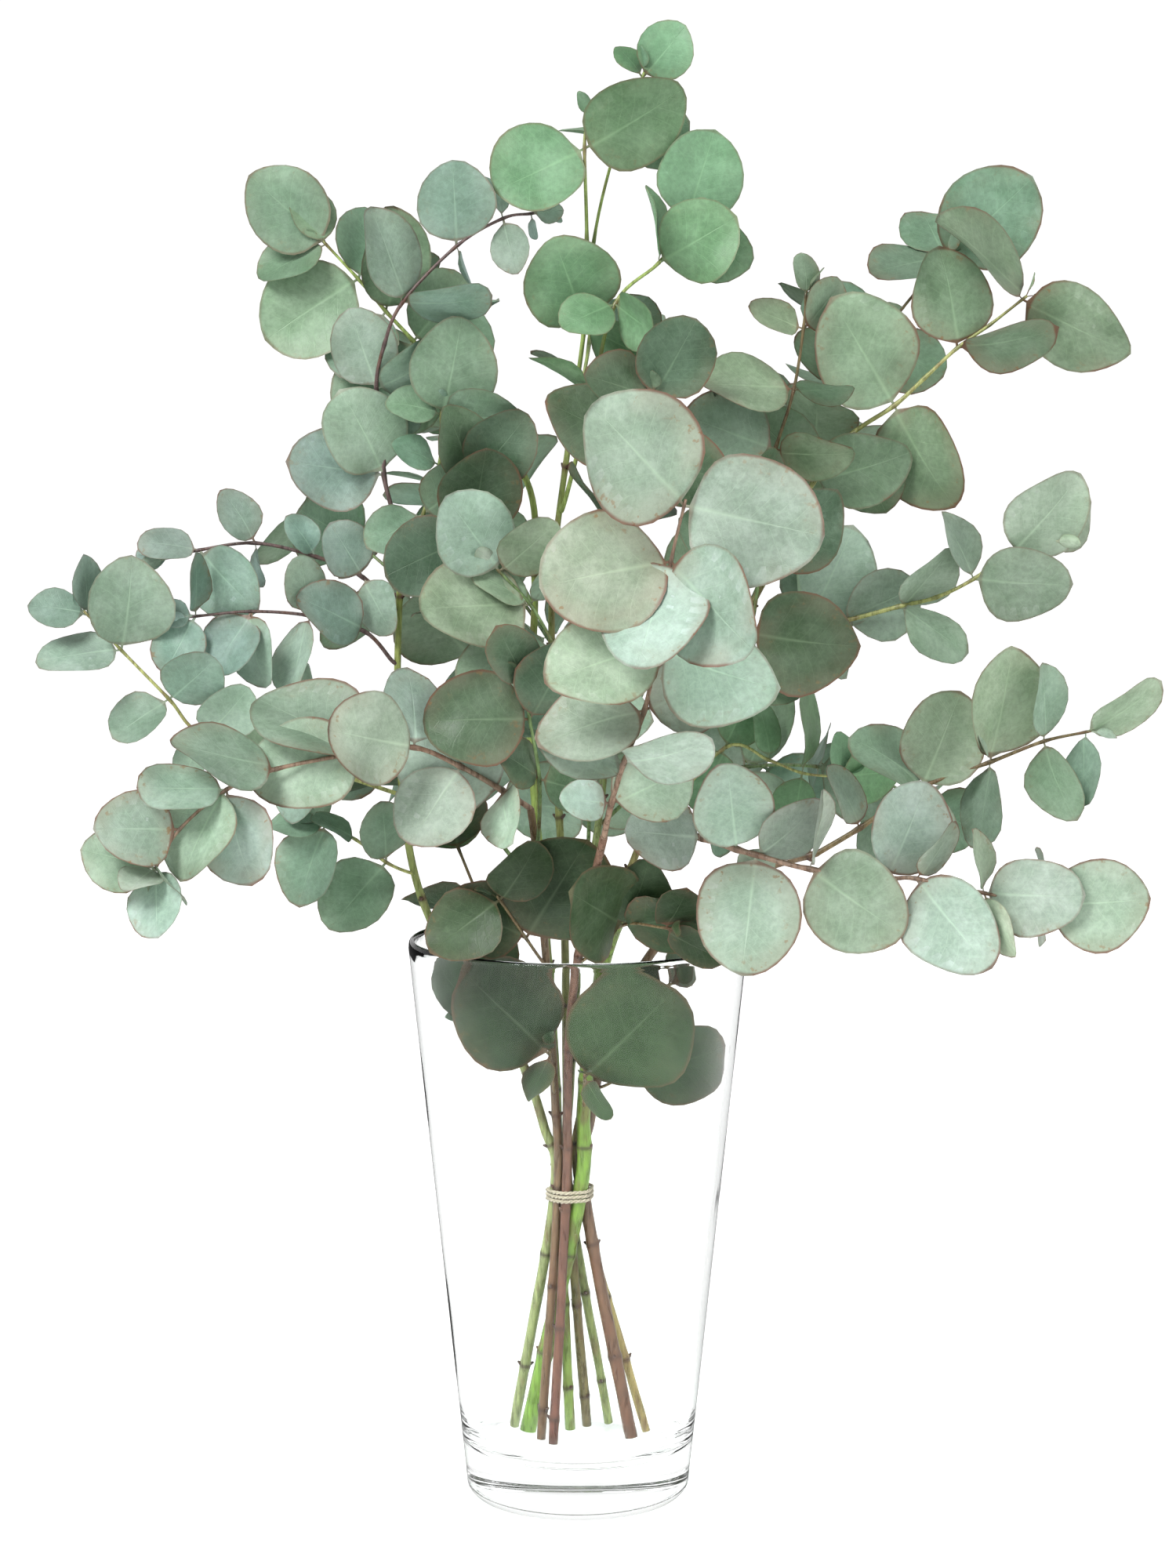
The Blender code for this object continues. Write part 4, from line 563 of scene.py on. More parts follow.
def placed(x, y, z, root, axis, face):
    """root + x side + y axis + z face, where side is axis cross face."""
    side = np.cross(axis, face)
    return root + x[..., None] * side + y[..., None] * axis + z[..., None] * face


# %% [markdown]
# ## Leaves that turn aside
#
# Leaves in a bunch press against each other and slide past, but never pass through. A full simulation of that
# would be slow and would never repeat exactly. Instead each leaf is set in turn as a thin slab, tested against all
# that is already there, and swung or lifted in small steps until it is clear. A leaf that finds no room is left out,
# as one that was stripped when the bunch was made.

# %% A leaf as a thin slab
def rim_grid():
    """u and v of the coarse leaf: the middle, then the rim from its tip round to its stalk and back."""
    angle = np.arange(LEAF_RIM_POINTS) * TURN / LEAF_RIM_POINTS
    return np.append(0.0, -np.sin(angle)), np.append(0.0, np.cos(angle))


def slab(root, axis, face, leaf, spare):
    """The coarse leaf moved half its thickness and spare to each side, and its rim moved out by spare."""
    u, v = rim_grid()
    p = placed(*blade(u, v, leaf), root, axis, face)
    p[1 + LEAF_RIM_POINTS // 2] = root
    p = p[0] + (p - p[0]) * (1 + 2 * spare / leaf[1])
    half = 0.5 * LEAF_THICKNESS * CM + spare
    k = np.arange(LEAF_RIM_POINTS)
    after = (k + 1) % LEAF_RIM_POINTS
    n = LEAF_RIM_POINTS + 1
    top = np.stack([k * 0, k + 1, after + 1], axis=1)
    near = np.stack([k + 1, k + 1 + n, after + 1], axis=1)
    far = np.stack([after + 1, k + 1 + n, after + 1 + n], axis=1)
    return np.vstack([p + face * half, p - face * half]), np.vstack([top, top + n, near, far])


# %% What stands in the way
CROSSING_SKIN = 1.0


class Crowd:
    """What already stands in a leaf's way: closed shells, each with a ball round it for a quick first test."""

    def __init__(self):
        self.middles = []
        self.reaches = []
        self.trees = []
        self.owners = []

    def add(self, points, faces, owner):
        """One more shell."""
        middle = (points.min(0) + points.max(0)) / 2
        self.middles.append(middle)
        self.reaches.append(np.linalg.norm(points - middle, axis=1).max())
        self.trees.append(BVHTree.FromPolygons(points.tolist(), faces.tolist()))
        self.owners.append(owner)

    def meets(self, points, faces, spare_owner, root):
        """True if a shell crosses any other, leaving out its own joint and its own twig close to its root."""
        middle = (points.min(0) + points.max(0)) / 2
        reach = np.linalg.norm(points - middle, axis=1).max()
        apart = np.linalg.norm(np.array(self.middles) - middle, axis=1)
        tree = BVHTree.FromPolygons(points.tolist(), faces.tolist())
        for i in np.flatnonzero(apart < reach + np.array(self.reaches)):
            owner = self.owners[i]
            if owner == spare_owner:
                continue
            close = np.linalg.norm(self.middles[i] - root) < self.reaches[i] + CROSSING_SKIN * CM
            if owner == spare_owner[:1] and close:
                continue
            if tree.overlap(self.trees[i]):
                return True
        return False


# %% Trying ways aside
WAY_SHARES = (1.0, 0.9, 0.8, 0.7, 0.6)
WAY_ANGLES = (9.0, 18.0, 27.0, 38.0, 50.0)
WAY_DIRECTIONS = 8


def ways_aside():
    """What a leaf tries in turn: swing and lift in degrees and a share of its length, smallest change first."""
    ways = [(0.0, 0.0, 1.0)]
    for share in WAY_SHARES:
        for far in WAY_ANGLES:
            for turn in (k * TURN / WAY_DIRECTIONS for k in range(WAY_DIRECTIONS)):
                ways.append((far * math.cos(turn), far * math.sin(turn), share))
    return ways


def settle(name, joint, root, axis, face, leaf, crowd, ways):
    """The first way aside in which the leaf touches nothing: (axis, face, leaf), or None if there is none."""
    side = np.cross(axis, face)
    for swing, lift, share in ways:
        new_axis = unit(axis + side * math.tan(math.radians(swing)) + face * math.tan(math.radians(lift)))
        new_face = unit(face - (face @ new_axis) * new_axis)
        new_leaf = (leaf[0] * share, leaf[1] * share, *leaf[2:])
        points, faces = slab(root, new_axis, new_face, new_leaf, LEAF_CLEARANCE * CM)
        if not crowd.meets(points, faces, (name, joint), root):
            return new_axis, new_face, new_leaf
    return None


# %% The vase's outline, which the leaves stay clear of
VASE_INSIDE = ((0.0, 2.2), (3.5, 2.2), (4.25, 2.4), (4.7, 2.85), (4.93, 3.6), (7.12, 24.6))
VASE_RIM = ((7.17, 24.88), (7.3, 25.0), (7.42, 24.88))
VASE_OUTSIDE = ((7.45, 24.6), (4.98, 1.0), (4.9, 0.45), (4.6, 0.1), (4.3, 0.0), (0.0, 0.0))
VASE_STEPS = 48


def turned(profile, steps):
    """A profile (r, z) turned once: (r cos a, r sin a, z) for steps values of a, with the quads between the rings."""
    angle = np.arange(steps) * TURN / steps
    x = profile[:, 0][:, None] * np.cos(angle)
    y = profile[:, 0][:, None] * np.sin(angle)
    z = np.repeat(profile[:, 1][:, None], steps, axis=1)
    return np.stack([x, y, z], axis=-1).reshape(-1, 3), ring_quads(len(profile), steps)


vase_outline = np.array(VASE_INSIDE + VASE_RIM + VASE_OUTSIDE) * CM


# %% Setting every leaf
SEED = 41
ROD_SIDES = 6


def grow(stems, shoots):
    """Every leaf as (shoot, joint, root, axis, face, leaf), set largest first so that none crosses others."""
    rng = np.random.default_rng(SEED)
    crowd = Crowd()
    crowd.add(*turned(vase_outline, VASE_STEPS), ("vase",))
    for name, (line, radii, *_) in [*stems.items(), *shoots.items()]:
        for i in range(len(line) - 1):
            crowd.add(*tube(line[i : i + 2], radii[i : i + 2], ROD_SIDES), (name,))
    wanted = []
    for name, (line, _, joints, leaf_rows) in shoots.items():
        for joint, rows in enumerate(leaf_rows):
            for row in rows:
                posed = paired(line, joints[joint], row[1]) if len(row) == 2 else [aimed(*row[1:])]
                for axis, face in posed:
                    wanted.append((row[0], name, joint, joints[joint], axis, face, leaf_traits(row[0], rng)))
    wanted.sort(key=lambda row: -row[0])
    ways = ways_aside()
    leaves = []
    for _, name, joint, point, axis, face, leaf in wanted:
        root = point - axis * LEAF_ROOT * CM
        found = settle(name, joint, root, axis, face, leaf, crowd, ways)
        if found:
            crowd.add(*slab(root, *found, 0.0), (name, joint))
            leaves.append((name, joint, root, *found))
    return leaves


leaves = grow(stems, shoots)
print(len(leaves), "leaves set")

# %% [markdown]
# ## Closed surfaces and node materials
#
# Two small sets of helpers come before the pieces. One puts whole arrays of points and faces into a mesh, with the
# attributes that colours follow. The other writes shader nodes as short expressions, so that a material reads like
# the formula it is. Both a material and the air round the bunch are trees of nodes, so one class serves both, and
# a second adds what only a material has.

# %% Meshes from arrays
def new_piece(name, points, faces, materials, slot, nodes, kinds=None, tints=None, uv=None, sharp=None):
    """A smooth closed piece. kinds has a material number for each face, tints a colour and an age for each point."""
    kinds = np.zeros(len(faces)) if kinds is None else kinds
    tints = np.ones((len(points), 4)) if tints is None else tints
    mesh = bpy.data.meshes.new(name)
    mesh.from_pydata(points, [], faces)
    mesh.polygons.foreach_set("use_smooth", np.ones(len(faces), dtype=bool))
    mesh.polygons.foreach_set("material_index", np.asarray(kinds, dtype=np.int32))
    tint = mesh.attributes.new("tint", "FLOAT_COLOR", "POINT")
    tint.data.foreach_set("color", np.asarray(tints, dtype=np.float32).ravel())
    if uv is not None:
        layer = mesh.uv_layers.new(name="blade")
        corner = np.empty(len(mesh.loops), dtype=np.int32)
        mesh.loops.foreach_get("vertex_index", corner)
        layer.data.foreach_set("uv", uv[corner].astype(np.float32).ravel())
    if sharp is not None:
        ends = np.empty(2 * len(mesh.edges), dtype=np.int32)
        mesh.edges.foreach_get("vertices", ends)
        flags = sharp[ends.reshape(-1, 2)].all(axis=1)
        mesh.attributes.new("sharp_edge", "BOOLEAN", "EDGE").data.foreach_set("value", flags)
    mesh.validate()
    piece = bpy.data.objects.new(name, mesh)
    scene.collection.objects.link(piece)
    for material in materials:
        mesh.materials.append(material)
    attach(piece, "root")
    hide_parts(*nodes)
    return piece


def joined(parts):
    """Several (points, faces) as one: the points stacked, and each face's numbers raised by the points before it."""
    points = []
    faces = []
    count = 0
    for part_points, part_faces in parts:
        points.append(part_points)
        faces += [tuple(int(i) + count for i in face) for face in part_faces]
        count += len(part_points)
    return np.vstack(points), faces


# %% Shader expressions
class Nodes:
    """Writes a tree of shader nodes. Each method adds one node or a few and gives back an output."""

    def __init__(self, tree):
        self.nodes = tree.nodes
        self.links = tree.links

    def put(self, kind, settings, inputs, output=0):
        """One node of a kind with its settings, and each input either a value or another node's output."""
        node = self.nodes.new(kind)
        for key, value in settings.items():
            setattr(node, key, value)
        for key, value in inputs.items():
            if isinstance(value, bpy.types.NodeSocket):
                self.links.new(value, node.inputs[key])
            else:
                node.inputs[key].default_value = value
        return node.outputs[output]

    def math(self, operation, a, b=0.0, clamp=False):
        """a with b by an operation."""
        return self.put("ShaderNodeMath", {"operation": operation, "use_clamp": clamp}, {0: a, 1: b})

    def times(self, a, b):
        """a times b."""
        return self.math("MULTIPLY", a, b)

    def less(self, a, b, clamp=False):
        """a less b."""
        return self.math("SUBTRACT", a, b, clamp)

    def more(self, a, b):
        """a and b together."""
        return self.math("ADD", a, b)

    def between(self, value, low, high, out_low=0.0, out_high=1.0):
        """A smooth step: out_low where value is low, out_high where it is high."""
        inputs = {"Value": value, "From Min": low, "From Max": high, "To Min": out_low, "To Max": out_high}
        return self.put("ShaderNodeMapRange", {"interpolation_type": "SMOOTHSTEP"}, inputs)

    def mirrored(self):
        """1 for rays that a glossy surface throws back, and 0 for all others, those bent by glass among them."""
        path = self.nodes.new("ShaderNodeLightPath").outputs
        return self.times(path["Is Glossy Ray"], path["Is Reflection Ray"])


# %% Materials
class Shade(Nodes):
    """Writes a material's nodes and joins them to its surface."""

    def __init__(self, name, values):
        self.material = bpy.data.materials.new(name)
        self.material.use_nodes = True
        super().__init__(self.material.node_tree)
        self.skin = self.nodes["Principled BSDF"]
        for key, value in values.items():
            self.skin.inputs[key].default_value = value

    def place(self, stretch=None):
        """Object coordinates, in metres, scaled by a stretch: a low third number draws a pattern out upwards."""
        place = self.put("ShaderNodeTexCoord", {}, {}, "Object")
        return place if stretch is None else self.put("ShaderNodeMapping", {}, {"Vector": place, "Scale": stretch})

    def noise(self, place, scale, detail=3.0, rough=0.55, stretch=0.0):
        """Cloudy noise from 0 to 1, features one over scale wide."""
        inputs = {"Vector": place, "Scale": scale, "Detail": detail, "Roughness": rough, "Distortion": stretch}
        return self.put("ShaderNodeTexNoise", {}, inputs, "Fac")

    def veins(self, place, scale):
        """The distance to the nearest border of a net of cells."""
        return self.put("ShaderNodeTexVoronoi", {"feature": "DISTANCE_TO_EDGE"}, {"Vector": place, "Scale": scale})

    def mix(self, share, a, b, how="MIX"):
        """Colour a towards colour b by share."""
        inputs = {0: share, 6: a, 7: b}
        return self.put("ShaderNodeMix", {"data_type": "RGBA", "blend_type": how}, inputs, 2)

    def tint(self, part="Color"):
        """The colour that the mesh carries at each point, or its Alpha, which says how old and rusty a leaf is."""
        return self.put("ShaderNodeAttribute", {"attribute_name": "tint"}, {}, part)

    def scaled(self, colour, share):
        """A colour times a share."""
        grey = self.put("ShaderNodeCombineColor", {}, {0: share, 1: share, 2: share})
        return self.mix(1.0, colour, grey, "MULTIPLY")

    def bump(self, height, metres, normal=None):
        """A normal from a height of 0 to 1 that stands for so many metres."""
        inputs = {"Height": height, "Distance": metres, "Strength": 1.0}
        if normal is not None:
            inputs["Normal"] = normal
        return self.put("ShaderNodeBump", {}, inputs, "Normal")

    def done(self, colour=None, roughness=None, normal=None):
        """Joins what is given to the surface."""
        for key, value in (("Base Color", colour), ("Roughness", roughness), ("Normal", normal)):
            if value is not None:
                self.links.new(value, self.skin.inputs[key])
        return self.material

    def instead(self, share, kind, colour):
        """Shows another kind of surface, with a colour, in the place of this one, by share."""
        both = {0: share, 1: self.skin.outputs[0], 2: self.put(kind, {}, {"Color": colour})}
        end = next(node for node in self.nodes if node.type == "OUTPUT_MATERIAL")
        self.links.new(self.put("ShaderNodeMixShader", {}, both), end.inputs["Surface"])


# %% [markdown]
# ## The finish of a leaf
#
# Young eucalyptus leaves carry a bloom, a powdery wax that greys and lightens the green and rubs off in cloudy
# patches. Below it a pale midrib starts at the stalk, side veins leave it slantwise and meet near the rim, and the
# space between is a fine net. The rim itself is a thin red-brown line, rusty where the leaf is old. A painted
# texture could hold all that for one leaf. Here it is worked out from each leaf's own coordinates, so that no two
# leaves are the same, and each leaf's own colour comes with the mesh.

# %% Leaf material
RIM_BROWN = (0.17, 0.075, 0.045, 1.0)
RUST = (0.26, 0.14, 0.05, 1.0)
BLUSH = (0.36, 0.235, 0.185, 1.0)
VEIN_PALE = (0.50, 0.58, 0.42, 1.0)
WAX = (0.47, 0.53, 0.49, 1.0)
WAXED = (1.95, 1.68, 1.95, 1.0)
UV_SPAN = 2.2

leaf_shade = Shade("leaf_with_bloom", {"Roughness": 0.5, "Specular IOR Level": 0.42})
leaf_uv = leaf_shade.put("ShaderNodeUVMap", {"uv_map": "blade"}, {})
split = leaf_shade.nodes.new("ShaderNodeSeparateXYZ")
leaf_shade.links.new(leaf_uv, split.inputs[0])
across, along = (leaf_shade.times(leaf_shade.less(split.outputs[i], 0.5), UV_SPAN) for i in range(2))
off_midrib = leaf_shade.math("ABSOLUTE", across)
place = leaf_shade.place()
print("leaf coordinates run from -1 to 1, from stalk to tip and from side to side")

# %% Veins
WOBBLE = 0.10
SIDE_VEINS = 3.6
MIDRIB_WIDTH = (0.060, 0.008)
VEIN_SLANT = 0.85
VEIN_CURVE = 0.35
NET_CELLS = 420.0

wobble = leaf_shade.times(leaf_shade.less(leaf_shade.noise(place, 90.0), 0.5), WOBBLE)
midrib_width = leaf_shade.between(along, -1.0, 0.9, *MIDRIB_WIDTH)
midrib = leaf_shade.less(1.0, leaf_shade.math("DIVIDE", off_midrib, midrib_width), clamp=True)
slant = leaf_shade.less(along, leaf_shade.times(off_midrib, VEIN_SLANT))
slant = leaf_shade.more(slant, leaf_shade.times(leaf_shade.math("POWER", off_midrib, 2.0), VEIN_CURVE))
wave = leaf_shade.math("FRACT", leaf_shade.times(leaf_shade.more(slant, wobble), SIDE_VEINS))
from_vein = leaf_shade.math("ABSOLUTE", leaf_shade.less(wave, 0.5))
side_veins = leaf_shade.between(from_vein, 0.0, 0.06, 0.42, 0.0)
squares = [leaf_shade.math("POWER", way, 2.0) for way in (across, along)]
radius = leaf_shade.math("SQRT", leaf_shade.more(*squares))
side_veins = leaf_shade.times(side_veins, leaf_shade.between(radius, 0.72, 0.95, 1.0, 0.0))
net = leaf_shade.between(leaf_shade.veins(place, NET_CELLS), 0.0, 0.09, 0.24, 0.0)
all_veins = leaf_shade.math("MAXIMUM", leaf_shade.math("MAXIMUM", midrib, side_veins), net)
print("about", int(2 * SIDE_VEINS), "side veins a side")

# %% Bloom
BLOOM_CLOUDS = 62.0
BLOOM_RANGE = (0.10, 0.50)
MOTTLE_SPECKS = 420.0

bloom = leaf_shade.between(leaf_shade.noise(place, BLOOM_CLOUDS, 4.0, 0.6), 0.34, 0.68, *BLOOM_RANGE)
mottle = leaf_shade.between(leaf_shade.noise(place, MOTTLE_SPECKS, 3.0, 0.6), 0.3, 0.7, 0.90, 1.10)
own = leaf_shade.tint()
waxed = leaf_shade.mix(0.07, leaf_shade.mix(1.0, own, WAXED, "MULTIPLY"), WAX)
green = leaf_shade.mix(bloom, own, waxed)
green = leaf_shade.scaled(green, mottle)
pale = leaf_shade.mix(0.18, leaf_shade.scaled(own, 1.9), VEIN_PALE)
veined = leaf_shade.mix(leaf_shade.times(all_veins, 0.50), green, pale)
print("clouds of bloom are", round(100 / BLOOM_CLOUDS, 1), "cm wide")

# %% Rim and rust
AGE_PATCHES = 34.0
RUST_SPOTS = 330.0

edge = leaf_shade.more(radius, leaf_shade.times(wobble, 0.5))
age = leaf_shade.tint("Alpha")
patches = leaf_shade.between(leaf_shade.noise(place, AGE_PATCHES, 2.0), 0.40, 0.60)
old = leaf_shade.times(patches, age)
blush = leaf_shade.times(leaf_shade.between(edge, 0.40, 1.0), leaf_shade.times(old, 0.50))
veined = leaf_shade.mix(blush, veined, leaf_shade.mix(0.5, leaf_shade.scaled(own, 1.1), BLUSH))
spots = leaf_shade.between(leaf_shade.noise(place, RUST_SPOTS, 2.0), 0.60, 0.70)
rusty = leaf_shade.times(leaf_shade.between(edge, 0.55, 0.98), leaf_shade.times(old, spots))
worn = leaf_shade.mix(leaf_shade.times(rusty, 0.75), veined, RUST)
rim = leaf_shade.times(leaf_shade.between(edge, 0.93, 0.985), leaf_shade.between(old, 0.0, 0.8, 0.35, 0.85))
rimmed = leaf_shade.mix(rim, worn, RIM_BROWN)
print("rim brown", RIM_BROWN[:3], "rust", RUST[:3])

# %% Leaf gloss and relief
SLOW_WAVES = 45.0
WAVE_HEIGHT = 0.0070
SKIN_GRAIN = 300.0
VEIN_HEIGHT = 0.00020

leaf_rough = leaf_shade.between(bloom, *BLOOM_RANGE, 0.42, 0.60)
waves = leaf_shade.bump(leaf_shade.noise(place, SLOW_WAVES, 0.0), WAVE_HEIGHT)
grain = leaf_shade.times(leaf_shade.noise(place, SKIN_GRAIN), 0.3)
relief = leaf_shade.more(leaf_shade.times(all_veins, -0.5), grain)
leaf_finish = leaf_shade.done(rimmed, leaf_rough, leaf_shade.bump(relief, VEIN_HEIGHT, waves))
print(leaf_finish.name, "has", len(leaf_shade.nodes), "nodes")

# %% [markdown]
# ## The finish of bark and of a fresh cut
#
# The stems are too young for rough bark. Their skin is smooth and satin, green to red-brown, flushed darker in long
# patches, and specked with tiny pale pores. Its colour along each stem comes with the mesh, and the material adds
# the fine lengthwise streaks. A stem's cut end is pale and matt, with darker flecks of grain.

# %% Bark material
FLUSH_BROWN = (0.16, 0.075, 0.045, 1.0)
PORE_PALE = (0.45, 0.40, 0.28, 1.0)
STREAKS = 620.0
STREAK_RANGE = (0.62, 1.30)
STREAK_HEIGHT = 0.00012
FLUSHES = 160.0
PORES = 1500.0

bark_shade = Shade("young_bark", {"Roughness": 0.42})
streak = bark_shade.noise(bark_shade.place((1.0, 1.0, 0.14)), STREAKS, 4.0, 0.6)
streak = bark_shade.between(streak, 0.3, 0.7, *STREAK_RANGE)
flush = bark_shade.noise(bark_shade.place((1.0, 1.0, 0.35)), FLUSHES, 3.0)
flush = bark_shade.between(flush, 0.48, 0.68, 0.0, 0.55)
pores = bark_shade.between(bark_shade.noise(bark_shade.place(), PORES, 1.0), 0.70, 0.76)
skin = bark_shade.mix(flush, bark_shade.scaled(bark_shade.tint(), streak), FLUSH_BROWN)
skin = bark_shade.mix(bark_shade.times(pores, 0.5), skin, PORE_PALE)
bark_rough = bark_shade.between(streak, *STREAK_RANGE, 0.26, 0.44)
bark_finish = bark_shade.done(skin, bark_rough, bark_shade.bump(streak, STREAK_HEIGHT))
print(bark_finish.name)

# %% Cut wood material
WOOD_PALE = (0.55, 0.52, 0.30, 1.0)
WOOD_DARK = (0.34, 0.30, 0.15, 1.0)
WOOD_GRAIN = 1800.0

cut_shade = Shade("fresh_cut", {"Roughness": 0.75})
cut_grain = cut_shade.noise(cut_shade.place(), WOOD_GRAIN, 3.0, 0.6)
cut_colour = cut_shade.mix(cut_shade.between(cut_grain, 0.35, 0.7), WOOD_PALE, WOOD_DARK)
cut_finish = cut_shade.done(cut_colour, None, cut_shade.bump(cut_grain, 0.0002))
print(cut_finish.name)

# %% [markdown]
# ## The colour of each part of the bunch
#
# No two stems of a bunch are quite the same age. Those at the top are fresh green, the ones bending to the front
# are silver with bloom, the left side is bluish and the right arch olive with rusty rims. What sits in the shade of
# the bunch and inside the vase is given deep and dark greens, which are painted shade. The finishes above take
# those colours from the mesh. Here each shoot gets its leaf colour and its twig colour by name.

# %% Palettes
LEAF_TINTS = {
    "silver": (0.262, 0.356, 0.268),
    "pale": (0.220, 0.325, 0.222),
    "fresh": (0.118, 0.236, 0.116),
    "grey": (0.142, 0.246, 0.150),
    "blue": (0.190, 0.292, 0.222),
    "olive": (0.158, 0.248, 0.148),
    # deep and dark are painted shade: greens darkened for leaves that sit in the shade of the bunch and inside the
    # vase.
    "deep": (0.058, 0.110, 0.056),
    "dark": (0.023, 0.054, 0.017),
}
TWIG_TINTS = {
    "lime": (0.30, 0.40, 0.11),
    "yellow": (0.38, 0.40, 0.14),
    "pink": (0.30, 0.20, 0.14),
    "purple": (0.13, 0.085, 0.08),
    "brown": (0.20, 0.15, 0.07),
    "green": (0.17, 0.26, 0.10),
}
SHOOT_TINTS = {
    "shoot_top_centre": ("fresh", "lime", 0.35),
    "shoot_top_tip": ("fresh", "lime", 0.35),
    "shoot_top_right": ("fresh", "lime", 0.25),
    "shoot_left_arch": ("grey", "lime", 0.35),
    "shoot_left_slender": ("blue", "purple", 0.5),
    "shoot_left_inner": ("grey", "lime", 0.4),
    "shoot_right_arch": ("olive", "yellow", 1.0),
    "shoot_right_crown": ("grey", "brown", 0.9),
    "shoot_right_inner": ("olive", "brown", 1.0),
    "shoot_front_centre": ("silver", "pink", 0.8),
    "shoot_front_left": ("silver", "pink", 1.0),
    "shoot_front_right": ("silver", "pink", 0.8),
    "shoot_right_low": ("pale", "brown", 0.7),
    "shoot_right_mid": ("pale", "yellow", 0.2),
    "shoot_left_high": ("blue", "purple", 0.5),
    "shoot_left_mid": ("blue", "purple", 0.8),
    "shoot_left_low": ("blue", "yellow", 0.4),
    "shoot_rim_left": ("grey", "yellow", 0.4),
    "shoot_right_wisp": ("fresh", "yellow", 0.3),
    "shoot_centre_left": ("pale", "green", 0.3),
    # These shoots sit in shade, and their deep and dark greens are painted shade.
    "shoot_centre_low": ("deep", "green", 0.7),
    "shoot_over_rim": ("dark", "brown", 0.6),
    "shoot_rim_dark": ("dark", "brown", 0.6),
    "shoot_glass_edge": ("deep", "yellow", 0.4),
    "shoot_rear_high_left": ("grey", "green", 0.5),
    "shoot_rear_high_right": ("olive", "green", 0.8),
}
RUFFLED = {"dark": 1.5, "deep": 1.3, "silver": 1.1}
# The core shoots and the shoots inside the vase get deep and dark greens, which are painted shade.
REST_TINTS = {
    "shoot_rear": ("grey", "green", 0.6),
    "shoot_core": ("deep", "green", 0.6),
    "shoot_glass": ("dark", "brown", 0.4),
}


def tints_of(name):
    """A shoot's leaf colour, twig colour, age and waviness: its own, or those of its place in the bunch."""
    row = SHOOT_TINTS.get(name) or REST_TINTS["_".join(name.split("_")[:2])]
    return np.array(LEAF_TINTS[row[0]]), np.array(TWIG_TINTS[row[1]]), row[2], RUFFLED.get(row[0], 1.0)


print(len(SHOOT_TINTS), "shoots have colours of their own")

# %% [markdown]
# ## Fine leaves
#
# Each leaf becomes a closed, lens-shaped shell on a grid: columns across, rows from the stalk to the tip. The two
# sides share their rim, so there is no seam, and the rim stays a sharp line. A leaf is repeated hundreds of times,
# so it has only a few dozen faces, and smooth shading does the rest. Large leaves get a few rows more, or their
# outline would show corners. The rows are closer together near both ends, because that is where a round outline turns
# fastest.

# %% The leaf's grid
LEAF_COLUMNS = (-1.0, -0.5, 0.0, 0.5, 1.0)
LEAF_ROWS = 9
LARGE_LEAF = 0.038
LARGE_ROWS = 13
STALK_ROWS = ((0.0, 0.055), (0.85, 0.060))
FINE_THICKNESS = 0.045
LEAF_REACH = 0.985
RUFFLE = 0.030
UV_HALF = 1 / UV_SPAN
OUTLINE_WAVES = (0.020, 0.012)


def leaf_faces(leaf_rows):
    """Quads between neighbouring rows and columns above and below, triangles at the tip, and one cap at the stalk."""
    rows = len(STALK_ROWS) + leaf_rows - 1
    columns = len(LEAF_COLUMNS)
    top = np.arange(rows * columns).reshape(rows, columns)
    low = top.copy()
    low[:, 1:-1] = rows * columns + np.arange(rows * (columns - 2)).reshape(rows, columns - 2)
    tip = rows * columns + rows * (columns - 2)
    faces = []
    for side, step in ((top, 1), (low, -1)):
        quads = np.stack([side[:-1, :-1], side[:-1, 1:], side[1:, 1:], side[1:, :-1]], axis=-1).reshape(-1, 4)
        ends = np.stack([side[-1, :-1], side[-1, 1:], np.full(columns - 1, tip)], axis=-1)
        faces += [tuple(face[::step]) for face in quads.tolist()] + [tuple(face[::step]) for face in ends.tolist()]
    faces.append(tuple(top[0, ::-1].tolist() + low[0, 1:-1].tolist()))
    return faces


LEAF_FACES = {LEAF_ROWS: leaf_faces(LEAF_ROWS), LARGE_ROWS: leaf_faces(LARGE_ROWS)}
print(len(LEAF_FACES[LEAF_ROWS]), "faces a leaf,", len(LEAF_FACES[LARGE_ROWS]), "on a large one")


